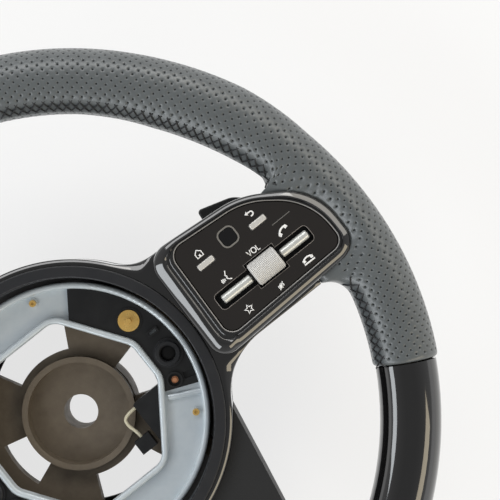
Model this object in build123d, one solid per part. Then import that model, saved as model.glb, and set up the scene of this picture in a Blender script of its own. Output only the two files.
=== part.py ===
from build123d import *
import os
from math import atan2, cos, degrees, radians, sin, sqrt

# A car steering wheel without its airbag module, lying face up. The column bore opens down -Z
# at the origin, +X points to three o'clock and +Y to twelve o'clock. Sizes are in millimetres.

# Rim section and its path
rim_radius = 169.0  # wheel axis to the middle of the rim section
rim_width = 33.0  # leather to leather, in the plane of the wheel
rim_depth = 30.0  # leather to leather, along the wheel axis
rim_level = 62.0  # middle plane of the rim over the boss's back face
flat_drop = 12.0  # the flat bottom lies this far inside the round run
flat_corner_radius = 60.0  # rim bend between the round run and the flat bottom
core_diameter = 12.0  # cast bar inside the rim
leather_thickness = 1.4
lower_cover_wall = 1.8
lower_cover_step = 1.2  # the hard lower cover lies this far inside the leather
grip_low_angle = -28.6  # perforated grip, from here
grip_high_angle = 66.0  # to here
seam_gap = 0.5  # butt gap between two rim coverings
wrap_gap = 0.1  # foam to its covering, and foam to the casting

# Spoke roots, the foam lugs that carry the leather to the switch pods
root_level = 60.0
root_depth = 22.0
root_edge = 8.0  # rounding of the root's long edges
root_blend = 5.0  # from the root into the rim, in plan, above
root_low_blend = 9.0  # and below

# Hub and spokes, plan
hub_radius = 80.3

# Plan places below are drawn for a hub of 80.3 and a rim of 169, and follow both sizes
hub_wide = hub_radius / 80.3
spoke_wide = (rim_radius - hub_radius) / 88.7
leg_wide = (rim_radius - flat_drop - hub_radius) / 76.7


def along_spoke(x):
    return x * hub_wide if x < 80.3 else hub_radius + (x - 80.3) * spoke_wide


def along_leg(y):
    return y * hub_wide if abs(y) < 80.3 else -hub_radius + (y + 80.3) * leg_wide


def in_hub(place):
    return (place[0] * hub_wide, place[1] * hub_wide)


flat_distance = rim_radius - flat_drop
spoke_root_length = 29.5  # hard spoke ends this far inside the middle of the rim
spoke_end = rim_radius - spoke_root_length
spoke_top = 41.0
spoke_knee = (along_spoke(93.0), 39.2)
spoke_shoulder = (along_spoke(123.0), 36.0)
spoke_top_end = 31.3
spoke_bottom = -24.0
spoke_upper_blend = 27.0
spoke_lower_blend = 37.0
leg_outer_hub = 67.6 * hub_wide
leg_outer_rim = 47.8
leg_inner_hub = 40.0 * hub_wide
leg_inner_rim = 29.5
leg_start = -40.0 * hub_wide
leg_end = along_leg(-148.0)  # just inside the rim's lower cover
bridge_radius = hub_radius + 7.7

# Levels along the axis
rest_level = -4.0  # flat lip the wheel lies on
tray_level = 34.0  # back of the spokes
split_level = 46.0  # front trim meets rear cover
leg_level = 61.0  # front of the lower legs
trim_level = 67.0  # front of the spoke bases
ring_level = 69.0  # front of the airbag surround
panel_level = 74.0  # front of the control panels
bezel_rise = 1.5  # bezel over panel

# Walls and fits
cover_wall = 2.5
trim_wall = 2.5
part_gap = 0.3  # between mouldings that meet
slip_gap = 0.2  # between a piece and the opening it drops into
run_gap = 0.05  # radial, pin in a turning bore
press_gap = 0.02  # radial, pin in its seat
key_gap = 0.4  # all round a moving cap
arm_gap = 0.6  # around the casting's arms

# Hub casting
bore_radius = 9.0
bore_length = 24.0
boss_radius = 29.5
boss_height = 34.0
well_radius = 26.5
plate_radius = 67.5 * hub_wide
plate_level = 20.0
plate_thickness = 8.0
window_inner = 30.0
window_outer = 43.5 * hub_wide
window_low_angle = -21.5
window_high_angle = 14.0
arm_low = -2.0
arm_high = 18.0
leg_arm_inner = 40.0
leg_arm_outer = 46.5

# Rear cover
ramp_start = along_spoke(97.0)  # the spokes' back rises from here
tray_end_level = 43.5  # to here at the rim
rear_opening = 51.0 * hub_wide
rear_screw_radius = 56.5 * hub_wide
rear_screw_angles = (45.0, 135.0, 225.0, 315.0)

# Airbag surround and carrier
ring_radius = hub_radius - 3.2
ring_inner = ring_radius - 6.2
ring_wall = 2.0
ring_flange = 2.5
ring_foot = 52.0
carrier_outer = ring_inner - 2.3
carrier_opening = (in_hub((45.2, 10.5)), in_hub((21.0, 45.0)))  # two corners of its first quarter
opening_blend = 9.0
carrier_level = 47.0
carrier_sheet = 2.0
carrier_lip = 3.3
carrier_lip_height = 6.0
carrier_screw_radius = carrier_outer - 7.1
carrier_screw_angles = (-36.0, 72.0, 108.0, 216.0)
post_radius = 4.5
screw_radius = 2.0
screw_head_radius = 3.2
carrier_head_radius = 2.7
screw_head = 1.6
bead_angle = -26.6
bead_radius = 1.7

# Contact inserts on the carrier
insert_low_angle = -22.5
insert_high_angle = 55.0
insert_thickness = 2.0
contact_place = in_hub((51.9, 21.3))
contact_radius = 5.5
contact_height = 1.2
contact_pin_radius = 1.3
contact_pin_height = 2.4
bush_place = in_hub((57.4, -3.9))
bush_radius = 6.6
bush_bore = 3.9
bush_collar = 7.6
bush_collar_height = 1.4
bush_height = 3.6
bush_depth = 5.0
terminal_place = in_hub((51.6, -16.6))
terminal_well = 3.2
terminal_radius = 1.1
terminal_floor = 0.6  # insert left under the terminals and the pocket
lug_place = in_hub((57.9, 9.4))
lug_size = (6.4, 3.0, 2.4)
pocket_place = in_hub((60.2, -19.0))
pocket_size = (8.0, 3.4)

# Control module behind the carrier
module_corner = (26.0, -13.3)
module_gap = 0.76  # to the carrier's post beside it
module_room = carrier_screw_radius * cos(radians(carrier_screw_angles[0])) - post_radius
module_size = (module_room - module_gap - module_corner[0], 27.0, 11.0)
lead_radius = 0.9

# Switch pods, plan of the control panel
panel_outline = ((along_spoke(90.3), 35.2), (along_spoke(134.7), 31.4), (along_spoke(160.5), 12.0),
                 (along_spoke(160.5), -14.1), (along_spoke(88.4), -16.0))
panel_corner_radii = (7.0, 38.0, 33.0, 6.0, 6.0)
panel_thickness = 2.0
bezel_outline = ((along_spoke(80.8), 40.6), (along_spoke(133.8), 35.7), (along_spoke(166.0), 15.8),
                 (along_spoke(166.0), -20.3), (along_spoke(79.2), -23.8))
bezel_corner_radii = (11.0, 45.0, 31.0, 11.0, 9.0)
bezel_round = 4.2
bezel_foot = 4.0  # bezel stays this thick where it lies on the rim
housing_inset = 3.0
housing_depth = 9.0
board_thickness = 1.2

# Controls in the pods
slider_x = along_spoke(122.4)
slider_length = 57.6 * spoke_wide
slider_width = 9.2
slider_corner = 2.4
trough_depth = 7.5
roller_x = along_spoke(123.7)
roller_radius = 6.3
roller_length = 16.0
roller_sink = 2.0  # roller axis under the panel face
roller_pocket = (17.8, 14.6)
roller_bore = 1.5
post_thickness = 0.6
bar_radius = 2.3
bar_sink = 1.4  # bar axis under the panel face
bar_web = 1.6
pivot_sink = 7.0  # rocker axis under the panel face, just over the trough floor
pivot_radius = 1.1
bar_inner_start = along_spoke(96.7)
bar_outer_end = along_spoke(149.4)
home_x = along_spoke(101.4)
back_x = along_spoke(133.7)
key_y = 19.5
key_size = (9.4 * spoke_wide, 3.0)
key_rise = 1.0
key_travel = 0.8
pad_place = (along_spoke(117.9), 22.9)
pad_size = 7.5
pad_corner = 2.2
pad_travel = 0.4
pad_ring_width = 0.8
flange_margin = 0.8
flange_thickness = 1.4

# Shift paddles
paddle_axis_x = along_spoke(87.0)
paddle_axis_level = 26.0
paddle_thickness = 3.0
paddle_barrel = 3.5
paddle_pin_radius = 1.5
paddle_y = 7.0
paddle_length = 16.0  # barrel
paddle_outline = ((1.0, -8.0), (8.0, -8.0), (17.0, -15.0), (39.0, -26.0), (63.0, -16.0), (66.0, 13.0),
                  (45.0, 32.0), (26.2, 37.6), (24.0, 17.0), (9.0, 8.0), (1.0, 8.0))  # from the pin's middle
paddle_radii = (0.0, 5.0, 9.0, 16.0, 12.0, 20.0, 12.0, 2.0, 9.0, 5.0, 0.0)
paddle_edge = 1.2
ear_thickness = 3.0
bracket_width = 11.0

plate_top = plate_level + plate_thickness
carrier_floor = carrier_level + carrier_sheet
insert_top = carrier_floor + insert_thickness
panel_back = panel_level - panel_thickness
housing_level = panel_back - housing_depth
trough_level = panel_back - trough_depth
bezel_top = panel_level + bezel_rise
roller_level = panel_level - roller_sink
pivot_level = panel_level - pivot_sink
corner_y = flat_corner_radius - flat_distance
corner_x = sqrt((rim_radius - flat_corner_radius) ** 2 - corner_y ** 2)
corner_angle = degrees(atan2(corner_y, corner_x))


def slab(plan, low, high):
    return Pos(0, 0, low) * extrude(plan, high - low)


def rounded(points, radii):
    return make_face(FilletPolyline(*points, radius=radii, close=True))


def both_sides(part):
    return part + mirror(part, Plane.YZ)


def polar(radius, angle):
    return (radius * cos(radians(angle)), radius * sin(radians(angle)))


def sector(inner, outer, low, high, start, end):
    section = Pos((inner + outer) / 2, (low + high) / 2) * Rectangle(outer - inner, high - low)
    return Rot(0, 0, start) * revolve(Plane.XZ * section, Axis.Z, end - start)


# Round run of the rim between two wheel angles, as a solid oval bar
def round_run(inset, start, end):
    oval = Pos(rim_radius, rim_level) * Ellipse(rim_width / 2 - inset, rim_depth / 2 - inset)
    return Rot(0, 0, start) * revolve(Plane.XZ * oval, Axis.Z, end - start)


# Rim from the lower end of both grips through the flat bottom, any oval section
def lower_run(half_width, half_depth, start):
    section = Ellipse(half_width, half_depth)
    arc = Rot(0, 0, corner_angle) * revolve(
        Plane.XZ * Pos(rim_radius, rim_level) * section, Axis.Z, start - corner_angle)
    bend = Rot(0, 0, -90) * revolve(
        Plane.XZ * Pos(flat_corner_radius, rim_level) * section, Axis.Z, corner_angle + 90)
    flat = extrude(Plane.YZ * Pos(-flat_distance, rim_level) * section, corner_x)
    return both_sides(arc + Pos(corner_x, corner_y) * bend + flat)


def core_run(grow):
    bar = core_diameter / 2 + grow
    section = Plane.XZ * Pos(rim_radius, rim_level) * Circle(bar)
    upper = Rot(0, 0, grip_low_angle) * revolve(section, Axis.Z, 180 - 2 * grip_low_angle)
    return upper + lower_run(bar, bar, grip_low_angle)


# Lug that joins the right grip to its spoke
def spoke_root(inset):
    inner = rim_radius - rim_width / 2 + 2 + inset
    top, low = spoke_top_end - inset, spoke_bottom + inset
    start = spoke_end + part_gap
    ring = (Circle(rim_radius) - Circle(inner)) & Pos(rim_radius, 0) * Rectangle(80, 120)
    plan = ring + Pos((start + rim_radius - 4) / 2, (top + low) / 2) * Rectangle(
        rim_radius - 4 - start, top - low)
    for height, blend in ((top, root_blend), (low, root_low_blend)):
        corner = plan.vertices().sort_by_distance((sqrt(inner ** 2 - height ** 2), height))[0]
        plan = fillet(corner, blend + inset)
    half = root_depth / 2 - inset
    lug = slab(plan, root_level - half, root_level + half)
    long_edges = [e for e in lug.edges() if abs(e.center().Z - root_level) > half - 0.01
                  and e.center().X > start + 0.5 and inner + 1 > Vector(e.center().X, e.center().Y).length]
    return fillet(long_edges, root_edge - inset)


def grip_body(inset):
    start = grip_low_angle
    return round_run(inset, start, 180 - start) + both_sides(spoke_root(inset))


# Plans of the pod's two outlines, grown all round
def bezel_plan(grow):
    plan = rounded(bezel_outline, bezel_corner_radii)
    return offset(plan, grow) if grow else plan


def panel_plan(grow):
    plan = rounded(panel_outline, panel_corner_radii)
    return offset(plan, grow) if grow else plan


# Room for a switch pod in whatever it sinks into
def pod_room():
    deck = slab(bezel_plan(part_gap), bezel_top - bezel_foot - part_gap, bezel_top + 20)
    return deck + slab(panel_plan(part_gap - housing_inset), housing_level - part_gap, bezel_top)


# Cast arms: the right one runs in the XZ plane, the right leg in the YZ plane
def side_arm(grow):
    reach = rim_radius - 2
    outline = [(along_spoke(x), z) for x, z in (
        (48, plate_level), (55, plate_level), (75, 40), (101, 45.5))]
    outline += [(spoke_end, 51.2), (reach, rim_level - 5), (reach, rim_level + 1), (spoke_end, 58.8)]
    outline += [(along_spoke(x), z) for x, z in (
        (99, 53.5), (70, 45.5), (51, plate_top), (48, plate_top))]
    profile = make_face(Polyline(*outline, close=True))
    profile = offset(profile, grow) if grow else profile
    width = arm_high - arm_low + 2 * grow
    return Pos(0, arm_high + grow, 0) * extrude(Plane.XZ * profile, width)


def leg_arm(grow):
    reach = -flat_distance
    outline = [(along_leg(y), z) for y, z in (
        (-38, plate_level), (-44, plate_level), (-62, 40), (-97, 43.5), (-141, 49))]
    outline += [(reach, rim_level - 5), (reach, rim_level + 4)]
    outline += [(along_leg(y), z) for y, z in (
        (-141, 57), (-95, 51), (-58, 45.5), (-42, plate_top), (-38, plate_top))]
    profile = make_face(Polyline(*outline, close=True))
    profile = offset(profile, grow) if grow else profile
    width = leg_arm_outer - leg_arm_inner + 2 * grow
    return Pos(leg_arm_inner - grow, 0, 0) * extrude(Plane.YZ * profile, width)


def arms(grow):
    return both_sides(side_arm(grow) + leg_arm(grow))


def make_armature():
    boss = Cylinder(boss_radius, boss_height, align=(Align.CENTER, Align.CENTER, Align.MIN))
    plate = slab(Circle(plate_radius), plate_level, plate_top)
    windows = both_sides(sector(window_inner, window_outer, plate_level - 1, plate_top + 1,
                                window_low_angle, window_high_angle))
    windows += sector(boss_radius + 4, plate_radius - 14, plate_level - 1, plate_top + 1, 62, 118)
    windows += sector(boss_radius + 4, plate_radius - 14, plate_level - 1, plate_top + 1, 246, 294)
    casting = boss + plate - windows
    for angle in carrier_screw_angles:
        x, y = polar(carrier_screw_radius, angle)
        casting += Pos(x, y) * slab(Circle(post_radius), plate_top - 1, carrier_level)
        casting -= Pos(x, y) * slab(Circle(screw_radius + press_gap), plate_top, carrier_level)
    casting -= slab(Circle(well_radius), bore_length, boss_height)
    casting -= slab(Circle(bore_radius), 0, bore_length)
    for angle in rear_screw_angles:
        x, y = polar(rear_screw_radius, angle)
        casting -= Pos(x, y) * slab(Circle(screw_radius + press_gap), plate_level, plate_top - 1)
    return casting


# The casting's arms stand on its plate and run into the rim bar
def cast_arm(arm):
    room = Rectangle(4 * rim_radius, 4 * rim_radius)
    return (arm & slab(room, plate_top, rim_level + rim_depth)) - core_run(0)


def make_foam():
    upper = grip_body(leather_thickness + wrap_gap) - both_sides(pod_room())
    inset = lower_cover_step + lower_cover_wall + wrap_gap
    lower = lower_run(rim_width / 2 - inset, rim_depth / 2 - inset, grip_low_angle)
    return upper + lower - core_run(wrap_gap) - arms(wrap_gap)


def make_leather():
    seam = degrees(seam_gap / rim_radius)
    low, high = grip_low_angle + seam, grip_high_angle
    hide = round_run(0, low, high) + spoke_root(0)
    hide -= round_run(leather_thickness, low - 1, high + 1) + spoke_root(leather_thickness)
    top = round_run(0, high + seam, 180 - high - seam)
    return hide - pod_room() - side_arm(arm_gap), top - round_run(leather_thickness, high, 180 - high)


def make_lower_covers():
    outer, inner = lower_cover_step, lower_cover_step + lower_cover_wall
    shell = lower_run(rim_width / 2 - outer, rim_depth / 2 - outer, grip_low_angle)
    shell -= lower_run(rim_width / 2 - inner, rim_depth / 2 - inner, grip_low_angle)
    shell -= arms(arm_gap)
    room = Rectangle(4 * rim_radius, 4 * rim_radius)
    front = shell & slab(room, rim_level + run_gap, rim_level + rim_depth)
    rear = shell & slab(room, rim_level - rim_depth, rim_level - run_gap)
    return front, rear


def hub_plan():
    spoke = make_face(Polyline((0, spoke_top), spoke_knee, spoke_shoulder, (spoke_end, spoke_top_end),
                               (spoke_end, spoke_bottom), (0, spoke_bottom), close=True))
    plan = Circle(hub_radius) + spoke + mirror(spoke, Plane.YZ)
    for side in (1, -1):
        for height, blend in ((spoke_top, spoke_upper_blend), (spoke_bottom, spoke_lower_blend)):
            corner = (side * sqrt(hub_radius ** 2 - height ** 2), height)
            plan = fillet(plan.vertices().sort_by_distance(corner)[0], blend)
    return plan


def leg_plan():
    leg = make_face(Polyline((leg_outer_hub, leg_start), (leg_outer_rim, leg_end),
                             (leg_inner_rim, leg_end), (leg_inner_hub, leg_start), close=True))
    bridge = Circle(bridge_radius) & Pos(0, -bridge_radius) * Rectangle(2 * leg_inner_hub + 8, 60)
    return leg + mirror(leg, Plane.YZ) + bridge


def housing_room():
    return both_sides(slab(panel_plan(slip_gap - housing_inset), housing_level - 20, trim_level + 1))


def make_front_trim():
    plan = hub_plan()
    shell = slab(plan, split_level, trim_level)
    rim_edges = shell.edges().filter_by_position(Axis.Z, trim_level - 0.01, trim_level + 0.01)
    shell = fillet(rim_edges, trim_wall - 0.5)
    shell -= slab(offset(plan, -trim_wall), split_level, trim_level - trim_wall)
    shell -= slab(Circle(ring_radius + slip_gap), split_level, trim_level)
    return shell - housing_room() - arms(arm_gap)


def rim_room():
    inset = lower_cover_step - part_gap
    return lower_run(rim_width / 2 - inset, rim_depth / 2 - inset, grip_low_angle)


def make_leg_cover():
    plan = leg_plan() - offset(hub_plan(), part_gap)
    shell = slab(plan, split_level, leg_level)
    cavity = slab(offset(leg_plan(), -trim_wall) - offset(hub_plan(), part_gap + trim_wall),
                  split_level, leg_level - trim_wall)
    return shell - cavity - rim_room() - arms(arm_gap)


# Solid that fills the rear cover, drawn in by the wall for its inside
def rear_form(inset):
    wall = hub_radius - inset
    bowl = make_face(Polyline((0, rest_level + inset), (wall - 20.3, rest_level + inset), (wall - 8.3, 6),
                              (wall, 40), (wall, split_level), (0, split_level), close=True))
    plan = hub_plan() + leg_plan()
    plan = offset(plan, -inset) if inset else plan
    trays = slab(plan, tray_level + inset, split_level)
    low, end = tray_level + inset, tray_end_level + inset
    spoke_ramp = make_face(Polyline((ramp_start, low), (spoke_end, end), (spoke_end, low - 1),
                                    (ramp_start, low - 1), close=True))
    leg_ramp = make_face(Polyline((-hub_radius, low), (-flat_distance, end), (-flat_distance, low - 1),
                                  (-hub_radius, low - 1), close=True))
    trays -= both_sides(extrude(Plane.XZ * spoke_ramp, 2 * hub_radius, both=True))
    trays -= extrude(Plane.YZ * leg_ramp, 2 * hub_radius, both=True)
    return revolve(Plane.XZ * bowl, Axis.Z) + trays


def make_rear_cover():
    shell = rear_form(0) - rear_form(cover_wall)
    for angle in rear_screw_angles:
        x, y = polar(rear_screw_radius, angle)
        shell += Pos(x, y) * slab(Circle(post_radius), rest_level + 1, plate_level)
        shell -= Pos(x, y) * slab(Circle(screw_radius + press_gap), rest_level, plate_level)
        shell -= Pos(x, y) * slab(Circle(screw_head_radius + press_gap), rest_level, rest_level + 5)
    shell -= slab(Circle(rear_opening), rest_level - 1, rest_level + 4)
    return shell - rim_room() - arms(arm_gap)


def screw(head_radius, head_level, head_down, tip_level):
    shank = slab(Circle(screw_radius), min(head_level, tip_level), max(head_level, tip_level))
    head = slab(Circle(head_radius), head_level - (screw_head if head_down else 0),
                head_level + (0 if head_down else screw_head))
    return shank + head


def make_surround():
    profile = make_face(Polyline(
        (ring_inner, ring_foot), (ring_inner + ring_wall, ring_foot),
        (ring_inner + ring_wall, ring_level - ring_flange), (ring_radius, ring_level - ring_flange),
        (ring_radius, ring_level), (ring_inner, ring_level), close=True))
    ring = revolve(Plane.XZ * profile, Axis.Z)
    return fillet(ring.edges().filter_by_position(Axis.Z, ring_level - 0.01, ring_level + 0.01), 0.8)


# Eight-sided opening of the carrier with rounded corners
def opening_plan(grow):
    (a, b), (c, d) = carrier_opening
    corners = ((a, b), (c, d), (-c, d), (-a, b), (-a, -b), (-c, -d), (c, -d), (a, -b))
    plan = rounded(corners, [opening_blend] * 8)
    return offset(plan, grow) if grow else plan


def make_carrier():
    tray = slab(Circle(carrier_outer) - opening_plan(0), carrier_level, carrier_floor)
    lip_top = carrier_level + carrier_lip_height
    outer_lip = Circle(carrier_outer) - Circle(carrier_outer - carrier_lip)
    for plan in (outer_lip, opening_plan(carrier_lip) - opening_plan(0)):
        lip = slab(plan, carrier_level, lip_top)
        tray += fillet(lip.edges().filter_by_position(Axis.Z, lip_top - 0.01, lip_top + 0.01),
                       carrier_lip / 2 - 0.15)
    start, end = carrier_opening[0][0] + carrier_lip, carrier_outer - carrier_lip
    bead = Cylinder(bead_radius, end - start, rotation=(0, 90, 0))
    bead = Pos((start + end) / 2, 0, carrier_floor) * bead
    bead &= slab(Rectangle(300, 300), carrier_floor - 0.5, carrier_floor + 5)
    tray += both_sides(Rot(0, 0, bead_angle) * bead)
    for x, y in both_places(bush_place):
        tray -= Pos(x, y) * slab(Circle(bush_radius + press_gap), carrier_level, carrier_floor)
    for angle in carrier_screw_angles:
        x, y = polar(carrier_screw_radius, angle)
        tray -= Pos(x, y) * slab(Circle(screw_radius + press_gap), carrier_level, carrier_floor)
    return tray


def both_places(place):
    return (place, (-place[0], place[1]))


def make_insert():
    outer = carrier_outer - carrier_lip - slip_gap
    plate = sector(outer / 2, outer, carrier_floor, insert_top, insert_low_angle, insert_high_angle)
    plate -= slab(opening_plan(carrier_lip + slip_gap), carrier_floor, insert_top)
    plate += Pos(*lug_place, insert_top) * Box(*lug_size, align=(Align.CENTER, Align.CENTER, Align.MIN))
    plate -= Pos(*lug_place, insert_top) * Box(lug_size[0] - 2, lug_size[1] - 1.6, 2 * lug_size[2])
    plate += Pos(*contact_place) * slab(Circle(contact_radius + 1.2), carrier_floor, insert_top + 0.6)
    plate -= Pos(*contact_place) * slab(Circle(contact_radius + slip_gap), insert_top, insert_top + 2)
    plate -= Pos(*bush_place) * slab(Circle(bush_radius + press_gap), carrier_floor, insert_top)
    plate += Pos(*terminal_place) * slab(
        Circle(terminal_well + 0.9) - Circle(terminal_well), carrier_floor, insert_top + 1.2)
    well_floor = carrier_floor + terminal_floor
    plate -= Pos(*terminal_place) * slab(Circle(terminal_well), well_floor, insert_top + 2)
    pocket_depth = insert_thickness - terminal_floor
    plate -= Pos(*pocket_place, insert_top) * Rot(0, 0, -18) * Box(*pocket_size, 2 * pocket_depth)
    return plate


def make_contact():
    disc = slab(Circle(contact_radius), insert_top, insert_top + contact_height)
    pin = slab(Circle(contact_pin_radius), insert_top, insert_top + contact_height + contact_pin_height)
    return Pos(*contact_place) * (disc + pin)


def make_bush():
    body = slab(Circle(bush_radius), insert_top - bush_depth, insert_top + bush_height)
    collar = slab(Circle(bush_collar), insert_top, insert_top + bush_collar_height)
    bush = body + collar - slab(Circle(bush_bore), insert_top - bush_depth, insert_top + bush_height)
    top = insert_top + bush_height
    bush = chamfer(bush.edges().filter_by_position(Axis.Z, top - 0.01, top + 0.01), 0.7)
    return Pos(*bush_place) * bush


def make_terminal():
    foot = carrier_floor + terminal_floor
    pin = slab(Circle(terminal_radius), foot, insert_top + 0.6)
    return Pos(*terminal_place) * (pin + slab(Circle(terminal_radius + 0.7), foot, foot + 0.6))


def make_module():
    x, y = module_corner
    box = Box(*module_size, align=(Align.MIN, Align.MAX, Align.MIN))
    box = fillet(box.edges().filter_by(Axis.Z), 1.5)
    return Pos(x, y, boss_height) * box


def make_socket():
    x, y = module_corner
    block = Box(9, 8, 7, align=(Align.MIN, Align.MAX, Align.MIN))
    return Pos(x - 12, y - 16, boss_height) * block


# The lead leaves the module's left face, lies over the boss and drops into the socket's back
def make_lead():
    x, y = module_corner
    level = boss_height + 4
    path = FilletPolyline((x, y - 2.5, level), (x - 8, y - 2.5, level), (x - 9.5, y - 7, level),
                          (x - 7.5, y - 13, level), (x - 7.5, y - 16, level), radius=2.5)
    return sweep(Plane(path @ 0, z_dir=path % 0) * Circle(lead_radius), path=path)


def slider_plan(grow):
    size = (slider_length + 2 * grow, slider_width + 2 * grow)
    slot = Pos(slider_x, 0) * RectangleRounded(*size, slider_corner)
    return slot + Pos(roller_x, 0) * RectangleRounded(roller_pocket[0], roller_pocket[1], 1.5)


def key_plan(grow):
    return RectangleRounded(key_size[0] + 2 * grow, key_size[1] + 2 * grow, 0.9)


def pad_plan(grow):
    return RectangleRounded(pad_size + 2 * grow, pad_size + 2 * grow, pad_corner + max(grow, 0))


def key_places():
    return ((home_x, key_y), (back_x, key_y))


def make_bezel():
    frame = slab(bezel_plan(0), trim_level, bezel_top)
    frame = fillet(frame.edges().filter_by_position(Axis.Z, bezel_top - 0.01, bezel_top + 0.01), bezel_round)
    frame -= slab(panel_plan(slip_gap), trim_level, bezel_top)
    over_rim = Pos(spoke_end - part_gap, 0) * Rectangle(120, 200, align=(Align.MIN, Align.CENTER))
    return frame - slab(over_rim, trim_level, bezel_top - bezel_foot)


def make_panel():
    panel = slab(panel_plan(0), panel_back, panel_level)
    panel = chamfer(panel.edges().filter_by_position(Axis.Z, panel_level - 0.01, panel_level + 0.01), 0.4)
    panel -= slab(slider_plan(0), panel_back, panel_level)
    for place in key_places():
        panel -= Pos(*place) * slab(key_plan(key_gap), panel_back, panel_level)
    ring_grow = key_gap + pad_ring_width + run_gap
    return panel - Pos(*pad_place) * slab(pad_plan(ring_grow), panel_back, panel_level)


def make_pad_ring():
    ring = pad_plan(key_gap + pad_ring_width) - pad_plan(key_gap)
    return Pos(*pad_place) * slab(ring, panel_back, panel_level + 0.3)


# Two thin posts beside the roller and one at each end of the trough carry the pivots
def trough_posts():
    half = roller_length / 2 + key_gap
    tall = roller_level + roller_bore + 1.2
    short = pivot_level + pivot_radius + 1
    spots = ((roller_x - half - post_thickness, tall), (roller_x + half, tall),
             (bar_inner_start - key_gap - post_thickness, short), (bar_outer_end + key_gap, short))
    return [(x, top) for x, top in spots]


def make_housing():
    block = slab(panel_plan(-housing_inset), housing_level, panel_back)
    block -= slab(slider_plan(0), trough_level, panel_back)
    for place in key_places():
        block -= Pos(*place) * slab(key_plan(flange_margin + key_gap), panel_back - 6, panel_back)
    block -= Pos(*pad_place) * slab(pad_plan(flange_margin + key_gap), panel_back - 6, panel_back)
    for x, top in trough_posts():
        block += Pos(x, 0) * slab(Rectangle(post_thickness, 5, align=(Align.MIN, Align.CENTER)),
                                  trough_level - 0.5, top)
    axle_bore = Pos(roller_x, 0, roller_level) * Cylinder(
        roller_bore + press_gap, roller_length + 2 * key_gap + 2 * post_thickness + 1, rotation=(0, 90, 0))
    rod_bore = Pos(slider_x, 0, pivot_level) * Cylinder(
        pivot_radius + run_gap, slider_length, rotation=(0, 90, 0))
    return block - axle_bore - rod_bore


def make_board():
    left, right = panel_outline[0][0] + housing_inset + 2, spoke_end - 4
    low, top = panel_outline[3][1] + housing_inset + 1.4, panel_outline[1][1] - housing_inset - 4.5
    plan = Pos((left + right) / 2, (low + top) / 2) * Rectangle(right - left, top - low)
    return slab(plan, housing_level - board_thickness, housing_level)


def make_key(place):
    stem_foot = panel_back - 6 + key_travel + 0.4
    flange_top = panel_back - key_gap
    cap = slab(key_plan(0), flange_top - flange_thickness, panel_level + key_rise)
    top = panel_level + key_rise
    cap = fillet(cap.edges().filter_by_position(Axis.Z, top - 0.01, top + 0.01), 0.5)
    flange = slab(key_plan(flange_margin), flange_top - flange_thickness, flange_top)
    stem = slab(Rectangle(4, 2.2), stem_foot, flange_top)
    return Pos(*place) * (cap + flange + stem)


def make_pad():
    stem_foot = panel_back - 6 + pad_travel + 0.4
    flange_top = panel_back - key_gap
    cap = slab(pad_plan(0), flange_top - flange_thickness, panel_level)
    flange = slab(pad_plan(flange_margin), flange_top - flange_thickness, flange_top)
    stem = slab(Rectangle(4, 4), stem_foot, flange_top)
    return Pos(*pad_place) * (cap + flange + stem)


def make_roller():
    drum = Cylinder(roller_radius, roller_length, rotation=(0, 90, 0))
    drum = chamfer(drum.edges().filter_by(GeomType.CIRCLE), 0.5)
    drum -= Cylinder(roller_bore + run_gap, roller_length, rotation=(0, 90, 0))
    return Pos(roller_x, 0, roller_level) * drum


def make_axle():
    length = roller_length + 2 * key_gap + 2 * post_thickness
    return Pos(roller_x, 0, roller_level) * Cylinder(roller_bore, length, rotation=(0, 90, 0))


# Rocker bar: round bar on a web, with a pivot rod that reaches into the posts at both ends
def make_bar(start, end, rod_start, rod_end):
    middle, length = (start + end) / 2, end - start
    level = panel_level - bar_sink
    rail = Pos(middle, 0, level) * Cylinder(bar_radius, length, rotation=(0, 90, 0))
    rail = chamfer(rail.edges().filter_by(GeomType.CIRCLE), 0.5)
    web = Pos(middle, 0, (level + pivot_level) / 2) * Box(length, bar_web, level - pivot_level)
    rod = Pos((rod_start + rod_end) / 2, 0, pivot_level) * Cylinder(
        pivot_radius, rod_end - rod_start, rotation=(0, 90, 0))
    return rail + web + rod


def make_bars():
    half = roller_length / 2 + key_gap + post_thickness
    inner = make_bar(bar_inner_start, roller_x - half - key_gap,
                     bar_inner_start - key_gap - post_thickness, roller_x - half + post_thickness / 2)
    outer = make_bar(roller_x + half + key_gap, bar_outer_end,
                     roller_x + half - post_thickness / 2, bar_outer_end + key_gap + post_thickness)
    return inner, outer


def along_pin(radius, length):
    return Pos(paddle_axis_x, paddle_y, paddle_axis_level) * Cylinder(radius, length, rotation=(90, 0, 0))


def make_paddle():
    half = paddle_thickness / 2
    blade = slab(rounded(paddle_outline, paddle_radii), -half, half)
    rim_edges = [e for e in blade.edges() if abs(e.center().Z) > half - 0.01
                 and e.center().X > paddle_outline[1][0]]
    blade = Pos(paddle_axis_x, paddle_y, paddle_axis_level) * fillet(rim_edges, paddle_edge)
    barrel = along_pin(paddle_barrel, paddle_length)
    return blade + barrel - along_pin(paddle_pin_radius + run_gap, paddle_length)


def make_bracket():
    span = paddle_length + 2 * part_gap + 2 * ear_thickness
    base = Pos(paddle_axis_x, paddle_y) * slab(Rectangle(bracket_width, span), tray_level - 3, tray_level)
    ear = Rectangle(2 * paddle_barrel + 2, ear_thickness)
    foot = paddle_axis_level - paddle_barrel - 1
    for shift in (-1, 1):
        y = paddle_y + shift * (span - ear_thickness) / 2
        base += Pos(paddle_axis_x, y) * slab(ear, foot, tray_level)
    return base - along_pin(paddle_pin_radius + press_gap, span)


def make_paddle_pin():
    return along_pin(paddle_pin_radius, paddle_length + 2 * part_gap + 2 * ear_thickness)


def group(part):
    return Compound(children=[*part.solids(), *mirror(part, Plane.YZ).solids()])


nodes = {}


def pair(name, part):
    nodes[name + "_right"] = part
    nodes[name + "_left"] = mirror(part, Plane.YZ)


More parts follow.
